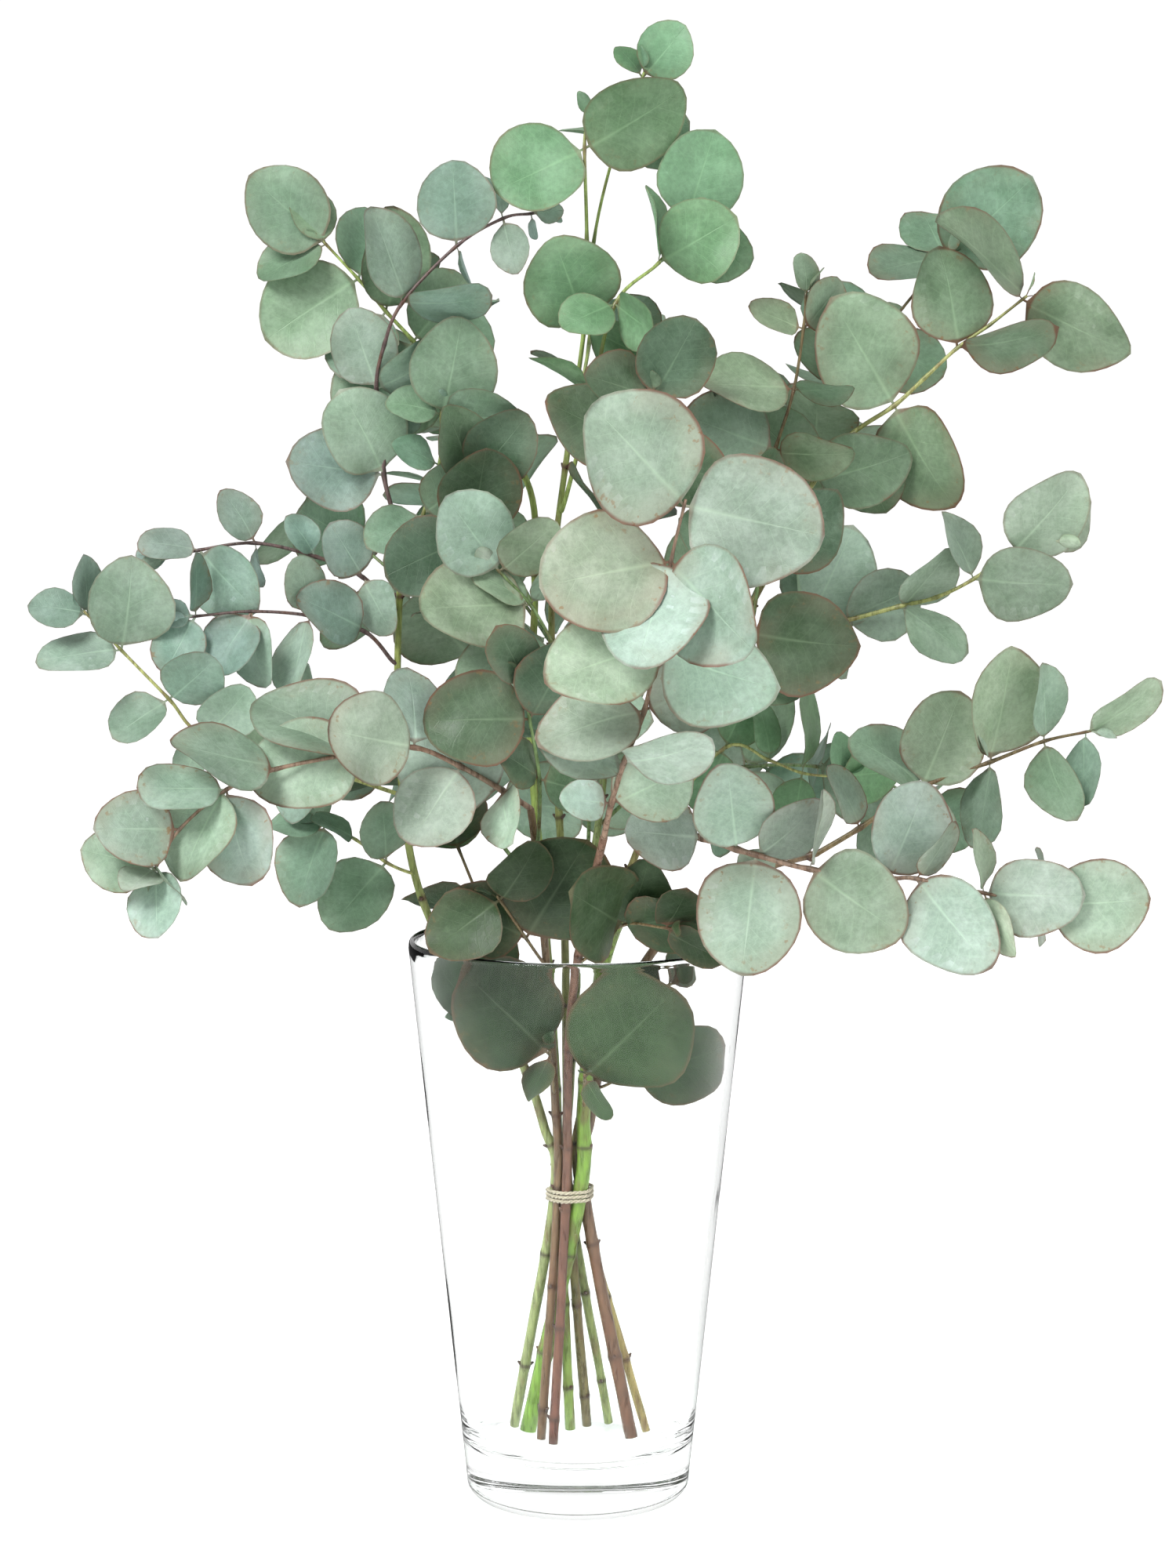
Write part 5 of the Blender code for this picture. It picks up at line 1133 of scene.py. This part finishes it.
# %% One fine leaf
def fine_leaf(root, axis, face, leaf, ruffle, rng):
    """Middle surface at (u, v) = (c sqrt(1 - v^2), v), then half the thickness times 1 - c^2 to each side of it."""
    phase = rng.uniform(0, TURN, 3)
    column = np.array(LEAF_COLUMNS)
    across = len(column)
    leaf_rows = LARGE_ROWS if leaf[0] > LARGE_LEAF else LEAF_ROWS
    rows = len(STALK_ROWS) + leaf_rows - 1
    v = -np.cos(np.pi * np.arange(1, leaf_rows) / leaf_rows)
    u = column[None, :] * np.sqrt(1 - v**2)[:, None]
    v = np.repeat(v[:, None], across, axis=1)
    turn = np.arctan2(u, v)
    slow, quick = OUTLINE_WAVES
    out = LEAF_REACH * (1 + slow * np.sin(2 * turn + phase[0]) + quick * ruffle * np.sin(5 * turn + phase[1]))
    x, y, z = blade(u * out, v * out, leaf)
    z = z + RUFFLE * ruffle * leaf[0] * (u**2 + v**2) * np.sin(3 * turn + phase[2])
    base = np.array(blade(0.0, -1.0, leaf))
    stalk = []
    for share, half in STALK_ROWS:
        middle = base * share
        line = [column * half * CM, np.full(across, middle[1]), np.full(across, middle[2] * share)]
        stalk.append(np.stack(line, axis=-1))
    grid = np.concatenate([np.array(stalk), np.stack([x, y, z], axis=-1)])
    half = 0.5 * FINE_THICKNESS * CM * (1 - column**2)[None, :] * np.ones(rows)[:, None]
    lift = np.zeros_like(grid)
    lift[..., 2] = half
    tip = np.array(blade(0.0, LEAF_REACH * 1.02, leaf))
    own = np.vstack([(grid + lift).reshape(-1, 3), (grid - lift)[:, 1:-1].reshape(-1, 3), tip])
    uv_v = np.concatenate([np.full((len(STALK_ROWS), across), -1.04), v])
    uv_u = np.concatenate([np.zeros((len(STALK_ROWS), across)), u])
    uv_top = np.stack([uv_u, uv_v], axis=-1)
    uv = 0.5 + UV_HALF * np.vstack([uv_top.reshape(-1, 2), uv_top[:, 1:-1].reshape(-1, 2), [[0.0, 1.0]]])
    rim = np.zeros((rows, across), dtype=bool)
    rim[:, 0] = True
    rim[:, -1] = True
    sharp = np.concatenate([rim.ravel(), np.zeros(rows * (across - 2), dtype=bool), [True]])
    below = np.arange(len(own)) >= rows * across
    return placed(own[:, 0], own[:, 1], own[:, 2], root, axis, face), LEAF_FACES[leaf_rows], uv, sharp, below


# %% [markdown]
# ## Fine twigs and stems
#
# A twig is a tube along the same joints, smoother than in the CAD model and drawn back into its parent stem. It
# swells a little at each joint, where the leaves' stalks leave it. A tube round a line needs only a radius at each
# point, so the swelling is a bell curve added to the taper.

# %% Round bars with closed ends
def bar(line, radii, sides):
    """A tube whose ends are closed by two smaller rings and a middle point, slightly domed."""
    points, quads = tube(line, radii, sides)
    faces = [tuple(face) for face in quads.tolist()]
    extra = []
    count = len(points)
    for ring, way in ((0, -1), (len(line) - 1, 1)):
        own = points[ring * sides : (ring + 1) * sides]
        middle = own.mean(0)
        ahead = unit(line[ring] - line[ring - way]) * radii[ring]
        inner = middle + (own - middle) * 0.62 + ahead * 0.14
        pole = middle + ahead * 0.20
        extra += [inner, pole[None]]
        k = np.arange(sides)
        after = (k + 1) % sides
        rim = ring * sides
        band = np.stack([rim + k, rim + after, count + after, count + k], axis=1)
        fan = np.stack([count + k, count + after, np.full(sides, count + sides)], axis=1)
        faces += [tuple(face[::way]) for face in band.tolist() + fan.tolist()]
        count += sides + 1
    return np.vstack([points] + extra), faces


NODE_WIDTH = 0.22
RING_WIDTH = 0.12
SCAR_WIDTH = 0.11


def bell(apart, width):
    """exp(-(apart / width)^2), the width in centimetres."""
    return np.exp(-((apart / (width * CM)) ** 2))


def swollen(line, radii, places, share):
    """Each radius r as r (1 + share bell(d)), where d is the distance to the nearest of some places."""
    apart = np.linalg.norm(line[:, None] - np.asarray(places)[None], axis=2).min(1)
    return radii * (1 + share * bell(apart, NODE_WIDTH)), apart


TWIG_FINE = 7
TWIG_FINE_SIDES = 8


def fine_twig(name, parent):
    """A shoot's twig from inside its parent stem: (points, faces, how far each point is from a joint)."""
    line, radii, joints, _ = shoots[name]
    _, _, foot = nearest(stems[parent][0], joints[0])
    through = np.vstack([foot, joints])
    smooth = np.vstack([smooth_line(through, TWIG_FINE), line[-1]])
    taper = np.linspace(radii[0], radii[-1], len(smooth)) * 0.92
    fat, apart = swollen(smooth, taper, joints[1:], 0.30)
    points, faces = bar(smooth, fat, TWIG_FINE_SIDES)
    far = np.concatenate([np.repeat(apart, TWIG_FINE_SIDES), np.full(2 * (TWIG_FINE_SIDES + 1), 1.0)])
    return points, faces, far


print("a twig has", TWIG_FINE_SIDES, "sides")

# %% [markdown]
# ## Setting the shoots
#
# A shoot is one piece: its twig and its leaves. Each leaf gets its shoot's colour, shifted a little at random
# towards lighter, darker, bluer or yellower, because bloom rubs off unevenly. A pair of very small leaves ends a
# twig, as on any growing shoot, unless its tip was cut. They are too small for the CAD model.

# %% Shoots
YOUNG_LENGTH = 0.95
YOUNG_SPREAD = 0.55
PALE_BELOW = (1.30, 1.20, 1.32, 1.0)
BLUNT_TIPS = ("shoot_front_centre",)
LEAF_SEED = 7


def leaf_tint(base, age, rng):
    """A shoot's leaf colour times one factor for lightness and a small one for each of red, green and blue."""
    colour = base * rng.uniform(0.76, 1.20) * rng.uniform((0.91, 0.98, 0.90), (1.07, 1.03, 1.06))
    return np.append(colour, age * rng.uniform(0.5, 1.3))


def young_leaves(name, rng):
    """A pair of small leaves at a twig's tip, half closed: (root, axis, face, leaf) for each."""
    line, _, _, _ = shoots[name]
    ahead = unit(line[-1] - line[-2])
    out = outward(ahead, (0.13, -1.0, 0.11), rng.uniform(0, TURN))
    pair = []
    for way in (out, -out):
        axis = unit(way * YOUNG_SPREAD + ahead)
        face = ahead - way * YOUNG_SPREAD
        face = unit(face - axis * (axis @ face))
        length = YOUNG_LENGTH * rng.uniform(0.8, 1.15) * CM
        pair.append((line[-1] - ahead * 0.0006, axis, face, (length, length * 0.72, 0.3, 0.1, 0.0, 0.1)))
    return pair


def build_shoot(name, parent, rng):
    """One shoot's twig and leaves as one piece that stands for its CAD node."""
    leaf_base, twig_base, age, ruffle = tints_of(name)
    twig_points, twig_faces, far = fine_twig(name, parent)
    ringed = 1 - 0.45 * bell(far, RING_WIDTH)
    parts = [(twig_points, twig_faces)]
    tints = [np.hstack([twig_base * ringed[:, None], np.ones((len(far), 1))])]
    uvs = [np.full((len(twig_points), 2), 0.5)]
    sharps = [np.zeros(len(twig_points), dtype=bool)]
    own = [row[2:] for row in leaves if row[0] == name]
    if name not in BLUNT_TIPS:
        own += young_leaves(name, rng)
    for root, axis, face, leaf in own:
        points, faces, uv, sharp, below = fine_leaf(root, axis, face, leaf, ruffle, rng)
        parts.append((points, faces))
        tint = np.tile(leaf_tint(leaf_base, age, rng), (len(points), 1))
        tint[below] *= PALE_BELOW
        tints.append(tint)
        uvs.append(uv)
        sharps.append(sharp)
    points, faces = joined(parts)
    kinds = np.repeat([1, 0], [len(twig_faces), len(faces) - len(twig_faces)])
    carried = kinds, np.vstack(tints), np.vstack(uvs), np.concatenate(sharps)
    return new_piece("leafy_" + name, points, faces, (leaf_finish, bark_finish), "leaf", (name,), *carried)


rng = np.random.default_rng(LEAF_SEED)
faces_made = 0
for name, parent, _, _ in SHOOTS:
    faces_made += len(build_shoot(name, parent, rng).data.polygons)
print(len(SHOOTS), "shoots with", faces_made, "faces")

# %% [markdown]
# ## The stems
#
# Below the rim the stems are bare, and there they are seen best. Each one swells at its nodes, where a dark ring
# and one or two small stubs are left from stripped leaves, and each has its own colour, from bright green to
# red-brown. The lower end is cut square and shows the pale wood.

# %% Stem colours
STEM_TINTS = {
    "stem_1": ((0.29, 0.34, 0.15), (0.27, 0.32, 0.08)),
    "stem_2": ((0.17, 0.31, 0.045), (0.18, 0.27, 0.05)),
    "stem_3": ((0.145, 0.085, 0.045), (0.22, 0.15, 0.08)),
    "stem_4": ((0.130, 0.052, 0.036), (0.21, 0.12, 0.08)),
    "stem_5": ((0.23, 0.34, 0.075), (0.27, 0.35, 0.09)),
    "stem_6": ((0.165, 0.130, 0.055), (0.30, 0.37, 0.11)),
    "stem_7": ((0.25, 0.31, 0.11), (0.25, 0.31, 0.11)),
    "stem_8": ((0.135, 0.070, 0.042), (0.20, 0.14, 0.08)),
    "stem_9": ((0.36, 0.29, 0.11), (0.32, 0.30, 0.12)),
}
SCAR_BROWN = (0.045, 0.025, 0.018)
STEM_FINE = 9
STEM_SIDES = 14
NODE_APART = (2.8, 5.8)
RING_STEPS = (-0.45, -0.26, -0.15, -0.07, 0.0, 0.07, 0.15, 0.26, 0.45)
STUB_LENGTH = 0.26
STUB_RADII = (0.0011, 0.0008, 0.0004)


# %% Stems with nodes and stubs
def with_nodes(line, radii, rng):
    """The line and radii with points added round the nodes, which are NODE_APART centimetres apart, and the nodes."""
    reach = reach_along(line)
    nodes = (rng.uniform(0.8, 4.4) + np.cumsum(np.append(0.0, rng.uniform(*NODE_APART, 24)))) * CM
    nodes = nodes[nodes < reach[-1] - 0.004]
    added = (nodes[:, None] + np.array(RING_STEPS) * CM).ravel()
    added = added[(added > 0.002) & (added < reach[-1] - 0.002)]
    clear = np.abs(reach[:, None] - added[None]).min(1) > 0.0005
    clear[[0, -1]] = True
    stops = np.sort(np.concatenate([reach[clear], added]))
    return points_at(stops, reach, line), np.interp(stops, reach, radii), points_at(nodes, reach, line)


def stub(point, ahead, radius, turn):
    """What is left of a leaf's stalk: a small cone leaning up from the stem."""
    out = outward(ahead, (0.2, -1.0, 0.1), turn)
    start = point + out * radius * 0.6
    end = start + (out * 0.8 + ahead * 0.6) * STUB_LENGTH * CM
    return bar(np.stack([start, (start + end) / 2, end]), np.array(STUB_RADII), ROD_SIDES)


def build_stem(name, thick, thin, joints, rng):
    """One stem with its nodes, stubs and cut end."""
    smooth = smooth_line(np.array(joints) * CM, STEM_FINE)
    smooth, taper, places = with_nodes(smooth, np.linspace(thick, thin, len(smooth)) * CM * 0.97, rng)
    fat, apart = swollen(smooth, taper, places, 0.15)
    points, faces = bar(smooth, fat, STEM_SIDES)
    low, high = np.array(STEM_TINTS[name])
    share = np.linspace(0, 1, len(smooth))[:, None]
    scarred = 0.85 * bell(apart, SCAR_WIDTH)[:, None]
    skin = (low + (high - low) * share) * (1 - scarred) + np.array(SCAR_BROWN) * scarred
    tint = [np.repeat(skin, STEM_SIDES, axis=0)] + [np.tile(end, (STEM_SIDES + 1, 1)) for end in (low, high)]
    kinds = np.zeros(len(faces), dtype=int)
    kinds[(len(smooth) - 1) * STEM_SIDES : (len(smooth) + 1) * STEM_SIDES] = 1
    parts = [(points, faces)]
    for k, point in enumerate(places):
        i = int(np.linalg.norm(smooth - point, axis=1).argmin())
        ahead = unit(smooth[min(i + 1, len(smooth) - 1)] - smooth[max(i - 1, 0)])
        turn = rng.uniform(0, TURN)
        for half in (0.0, math.pi)[: 1 + int(rng.uniform() < 0.6)]:
            parts.append(stub(point, ahead, fat[i], turn + half))
            tint.append(np.tile(np.array(SCAR_BROWN) * 1.6, (len(parts[-1][0]), 1)))
            kinds = np.append(kinds, np.zeros(len(parts[-1][1]), dtype=int))
    tint = np.vstack(tint)
    tint = np.hstack([tint, np.ones((len(tint), 1))])
    points, faces = joined(parts)
    new_piece("bark_" + name, points, faces, (bark_finish, cut_finish), "bark", (name,), kinds, tint)
    return len(places)


stem_rng = np.random.default_rng(LEAF_SEED)
for name, thick, thin, joints in STEMS:
    print(name, "has", build_stem(name, thick, thin, joints, stem_rng), "nodes")

# %% [markdown]
# ## The twine
#
# The bunch is tied by three turns of thin, two-ply twine. Real twine lies tight on what it binds, so its path is
# the outline of a loop pulled round all nine stems at that height. Pulling a loop tight has a formula: in each
# direction the loop reaches as far as the farthest stem does. Two strands then wind round that path, and the ends are
# knotted at the back.

# %% The loop round the stems
TIE_MIDDLE = (-0.38, -0.01, 13.6)
TIE_TURNS = 3.0
TIE_PITCH = 0.19
TWINE_RADIUS = 0.085
TIE_POINTS = 420
BARK_SPARE = 1.06
SOFTENED_OVER = 9


def stems_at(height):
    """Each stem's (x, y) and radius where its fine line crosses a height."""
    middles = []
    sizes = []
    for _, thick, thin, joints in STEMS:
        line = smooth_line(np.array(joints) * CM, STEM_FINE)
        radii = np.linspace(thick, thin, len(line)) * CM
        low = line[: int(line[:, 2].argmax()) + 1]
        middles.append([np.interp(height, low[:, 2], low[:, 0]), np.interp(height, low[:, 2], low[:, 1])])
        sizes.append(np.interp(height, low[:, 2], radii[: len(low)]) * BARK_SPARE)
    return np.array(middles), np.array(sizes)


def pulled_loop(angle, middles, sizes, gap):
    """With h the greatest of c.n + r + gap for a direction n, the loop's point is h n + h' t, t a quarter turn on."""
    n = np.stack([np.cos(angle), np.sin(angle)], axis=-1)
    t = np.stack([-np.sin(angle), np.cos(angle)], axis=-1)
    reach = n @ middles.T + sizes + gap
    first = reach.argmax(1)
    h = reach.max(1)
    slope = (t * middles[first]).sum(1)
    return n * h[:, None] + t * slope[:, None]


middles, sizes = stems_at(TIE_MIDDLE[2] * CM)
turns = np.linspace(0, TIE_TURNS, TIE_POINTS)
angle = turns * TURN + math.pi / 2
loop = pulled_loop(angle, middles, sizes, TWINE_RADIUS * CM)
soft = np.ones(SOFTENED_OVER) / SOFTENED_OVER
padded = np.pad(loop, ((SOFTENED_OVER // 2, SOFTENED_OVER // 2), (0, 0)), mode="edge")
loop = np.stack([np.convolve(padded[:, i], soft, "valid") for i in range(2)], axis=1)
height = (TIE_MIDDLE[2] + (turns - TIE_TURNS / 2) * TIE_PITCH) * CM
twine_line = np.hstack([loop, height[:, None]])
print("loop is", np.round(np.ptp(loop, axis=0) * 1000, 1), "mm across")


# %% Strands
STRAND_RADIUS = 0.050
STRAND_REACH = 0.042
STRAND_TWIST = 0.42
STRAND_STEP = 0.06


def strand(line, start):
    """A strand beside a line, its angle growing with the length: one turn every STRAND_TWIST centimetres."""
    reach = reach_along(line)
    even = points_at(np.arange(0, reach[-1], STRAND_STEP * CM), reach, line)
    ahead = unit(np.gradient(even, axis=0))
    across = unit(np.cross(ahead, (0.03, 0.05, 1.0)))
    up = np.cross(across, ahead)
    turn = (start + np.arange(len(even)) * STRAND_STEP / STRAND_TWIST) * TURN
    own = even + (across * np.cos(turn)[:, None] + up * np.sin(turn)[:, None]) * STRAND_REACH * CM
    return bar(own, np.full(len(own), STRAND_RADIUS * CM), ROD_SIDES)


def two_ply(line):
    """Two strands wound round each other."""
    return [strand(line, 0.0), strand(line, 0.5)]


print("a strand turns once every", STRAND_TWIST, "cm")

# %% The knot and its ends
KNOT_POINTS = 60
KNOT_SIZE = (0.26, 0.12, 0.22)
KNOT_BEHIND = 0.13
END_POINTS = 14
END_WAYS = ((1.0, 1.5), (-1.0, 1.1))

back = twine_line[0]
knot_turn = np.linspace(0, 1, KNOT_POINTS)
knot_x = back[0] + KNOT_SIZE[0] * CM * np.sin(2 * knot_turn * TURN)
knot_y = back[1] + (KNOT_BEHIND + KNOT_SIZE[1] * np.cos(3 * knot_turn * TURN)) * CM
knot_z = (TIE_MIDDLE[2] + KNOT_SIZE[2] * np.cos(2 * knot_turn * TURN + 0.6)) * CM
twine_parts = two_ply(twine_line) + two_ply(np.stack([knot_x, knot_y, knot_z], axis=1))
end_share = np.linspace(0, 1, END_POINTS)[:, None]
for way, drop in END_WAYS:
    end = back + (0, 0.0016, 0) + end_share * np.array([way * 0.55, 0.35, 0.15]) * CM
    twine_parts += two_ply(end - end_share**2 * np.array([0.0, 0.0, drop]) * CM)
print(len(twine_parts), "strands")

# %% Twine material
TWINE_DARK = (0.36, 0.29, 0.19, 1.0)
TWINE_PALE = (0.74, 0.68, 0.54, 1.0)
FIBRES = 2600.0
FIBRE_HEIGHT = 0.0003

twine_shade = Shade("cream_twine", {"Roughness": 0.9, "Sheen Weight": 0.3})
fibre = twine_shade.noise(twine_shade.place((1, 1, 2.5)), FIBRES, 3.0, 0.7)
twine_colour = twine_shade.mix(twine_shade.between(fibre, 0.3, 0.7), TWINE_DARK, TWINE_PALE)
twine_finish = twine_shade.done(twine_colour, None, twine_shade.bump(fibre, FIBRE_HEIGHT))
twine = new_piece("twine_tie", *joined(twine_parts), (twine_finish,), "twine", ("string_tie",))
print(len(twine.data.polygons), "faces of twine")

# %% [markdown]
# ## The vase
#
# The vase is pressed glass: a straight, tapered wall on a thick, solid base, with a rounded rim. Glass shows only by
# its edges and by what it bends, so the outline matters more than anything: the inner floor's curved corner, the
# heavy base and the rim are all part of one profile, turned once. The same outline as the CAD model's is made finer
# by rounding it between its points.

# %% The vase's surface
VASE_FINE_STEPS = 128
VASE_PER_SPAN = 5
WALL_ROWS = 10


def rounded(profile):
    """A smooth curve through some of the outline's points."""
    return smooth_line(np.array(profile) * CM, VASE_PER_SPAN)


inside = rounded(VASE_INSIDE[1:5])
over = rounded(VASE_INSIDE[5:] + VASE_RIM + VASE_OUTSIDE[:1])
foot = rounded(VASE_OUTSIDE[1:5])


def wall(start, end):
    """Points on the straight line between two points, closer together at its ends."""
    share = (1 - np.cos(np.pi * np.arange(1, WALL_ROWS) / WALL_ROWS)) / 2
    return start + (end - start) * share[:, None]


fine_outline = np.vstack([inside, wall(inside[-1], over[0]), over, wall(over[-1], foot[0]), foot])
vase_points, vase_quads = turned(fine_outline, VASE_FINE_STEPS)
ring = np.arange(VASE_FINE_STEPS)
after = (ring + 1) % VASE_FINE_STEPS
last = len(vase_points) - VASE_FINE_STEPS
pole = len(vase_points)
vase_points = np.vstack([vase_points, [[0.0, 0.0, fine_outline[0, 1]], [0.0, 0.0, 0.0]]])
vase_faces = [tuple(face[::-1]) for face in vase_quads.tolist()]
for near, far, middle in ((ring, after, pole), (last + after, last + ring, pole + 1)):
    vase_faces += [tuple(face) for face in np.stack([near, far, np.full(len(ring), middle)], 1).tolist()]
print(len(vase_faces), "faces of glass")

# %% [markdown]
# ## The finish of the glass
#
# Clear glass has almost no colour, but a long way through it turns faintly green, which shows in the base. Pressed
# glass is also never quite flat, so a soft, slow relief bends what is seen through it. Light from the lamps is let
# straight through in shadows, because real glass of this kind casts hardly any.

# %% Glass material
GLASS_VALUES = {
    "Roughness": 0.0,
    "Transmission Weight": 1.0,
    "IOR": 1.48,
    "Base Color": (0.975, 0.988, 0.982, 1.0),
    "Specular Tint": (0.20, 0.20, 0.20, 1.0),
}
GLASS_IN_SHADOW = (0.93, 0.96, 0.945, 1.0)
GLASS_WAVES = 42.0
GLASS_WAVE_HEIGHT = 0.00035

glass_shade = Shade("clear_glass", GLASS_VALUES)
glass_wave = glass_shade.noise(glass_shade.place((1.0, 1.0, 0.3)), GLASS_WAVES, 1.0)
glass_finish = glass_shade.done(None, None, glass_shade.bump(glass_wave, GLASS_WAVE_HEIGHT))
shadow = glass_shade.put("ShaderNodeLightPath", {}, {}, "Is Shadow Ray")
glass_shade.instead(shadow, "ShaderNodeBsdfTransparent", GLASS_IN_SHADOW)
new_piece("vase_of_glass", vase_points, vase_faces, (glass_finish,), "glass", ("glass_vase",))
print(glass_finish.name)

# %% [markdown]
# ## The floor, the air and the lamps
#
# The bunch stands on a white surface in front of a white wall, both so bright that they run together. A floor that
# glows faintly keeps its white right to the horizon. Under the foot its glow is dimmed, most of all in a ring under
# the foot's edge, as a painted shadow. The air above is white too, but darker straight overhead, so that the rim and
# the base of the glass have something dark to mirror. In a mirror the floor is painted dark as well, a painted
# reflection. One large lamp from the upper left gives the leaves their shape, and a weaker one on the right opens
# the shadows.

# %% Floor
FLOOR_RADIUS = 9.0
FLOOR_GLOW = 0.62
# The share of the floor's glow left in the painted shadow under the foot's edge.
FOOT_SHADE = 0.10
FLOOR_POINTS = 96
FLOOR_BELOW = 0.0002
FLOOR_MIRRORED = (0.10, 0.10, 0.10, 1.0)
WHITE = (1.0, 1.0, 1.0, 1.0)

floor_ring = np.arange(FLOOR_POINTS) * TURN / FLOOR_POINTS
floor_points = np.stack([np.cos(floor_ring), np.sin(floor_ring), floor_ring * 0], axis=1) * FLOOR_RADIUS
floor_mesh = bpy.data.meshes.new("white_floor")
floor_mesh.from_pydata((floor_points - (0.0, 0.0, FLOOR_BELOW)).tolist(), [], [tuple(range(FLOOR_POINTS))])
floor = bpy.data.objects.new("white_floor", floor_mesh)
scene.collection.objects.link(floor)
floor_shade = Shade("white_surface", {"Roughness": 0.6, "Emission Color": WHITE})
faint = floor_shade.noise(floor_shade.place(), 2.0)
floor_colour = floor_shade.mix(faint, (0.90, 0.90, 0.90, 1.0), (0.93, 0.93, 0.93, 1.0))
floor_mesh.materials.append(floor_shade.done(floor_colour))
# A painted reflection: in rays that a glossy surface throws back, the floor shows dark grey, so the glass mirrors
# something dark.
floor_shade.instead(floor_shade.mirrored(), "ShaderNodeBsdfDiffuse", FLOOR_MIRRORED)
from_middle = floor_shade.put("ShaderNodeVectorMath", {"operation": "LENGTH"}, {0: floor_shade.place()}, "Value")
# A painted shadow: the floor's glow is dimmed under the foot, most of all in a ring under its edge.
painted_shadow_under_foot = floor_shade.between(from_middle, 0.034, 0.045, 0.85, FOOT_SHADE)
painted_shadow_round_foot = floor_shade.between(from_middle, 0.050, 0.066, FOOT_SHADE, 1.0)
glow = floor_shade.times(floor_shade.math("MAXIMUM", painted_shadow_under_foot, painted_shadow_round_foot), FLOOR_GLOW)
floor_shade.links.new(glow, floor_shade.skin.inputs["Emission Strength"])
print("floor radius", FLOOR_RADIUS)

# %% Air
AIR_LEVEL = 1.05
AIR_LIGHT = 0.50
AIR_MIRRORED = 0.70
AIR_OVERHEAD = 0.55
OVERHEAD = (0.50, 0.92)

world = bpy.data.worlds.new("white_air")
scene.world = world
world.use_nodes = True
air = Nodes(world.node_tree)
way = air.put("ShaderNodeTexCoord", {}, {}, "Generated")
fade = air.between(air.put("ShaderNodeSeparateXYZ", {}, {0: way}, 2), *OVERHEAD, AIR_LEVEL, AIR_OVERHEAD)
lit = air.between(air.put("ShaderNodeLightPath", {}, {}, "Is Diffuse Ray"), 0.0, 1.0, 1.0, AIR_LIGHT)
level = air.times(fade, air.between(air.mirrored(), 0.0, 1.0, lit, AIR_MIRRORED))
air.links.new(level, air.nodes["Background"].inputs["Strength"])
air.nodes["Background"].inputs["Color"].default_value = WHITE
print("air", AIR_LEVEL, "level and", AIR_OVERHEAD, "overhead")


# %% Lamps
LAMP_AIM = (0.0, 0.0, 0.35)
KEY_WATTS = 66.0
FILL_WATTS = 14.0


def soft_lamp(name, place, size, watts):
    """A round area lamp at a place, turned so that its -Z looks at LAMP_AIM."""
    data = bpy.data.lights.new(name, "AREA")
    data.shape = "DISK"
    data.size = size
    data.energy = watts
    lamp = bpy.data.objects.new(name, data)
    lamp.location = place
    way = np.array(LAMP_AIM) - np.array(place)
    flat = math.hypot(way[0], way[1])
    lamp.rotation_euler = (math.atan2(flat, -way[2]), 0.0, math.atan2(way[1], way[0]) - math.pi / 2)
    scene.collection.objects.link(lamp)


soft_lamp("key", (-1.3, -1.7, 2.1), 1.3, KEY_WATTS)
soft_lamp("fill", (2.0, -1.0, 1.2), 1.6, FILL_WATTS)
scene.view_settings.view_transform = "Standard"
scene.view_settings.look = "None"
scene.cycles.max_bounces = 20
scene.cycles.glossy_bounces = 16
scene.cycles.transmission_bounces = 20
print("two lamps")
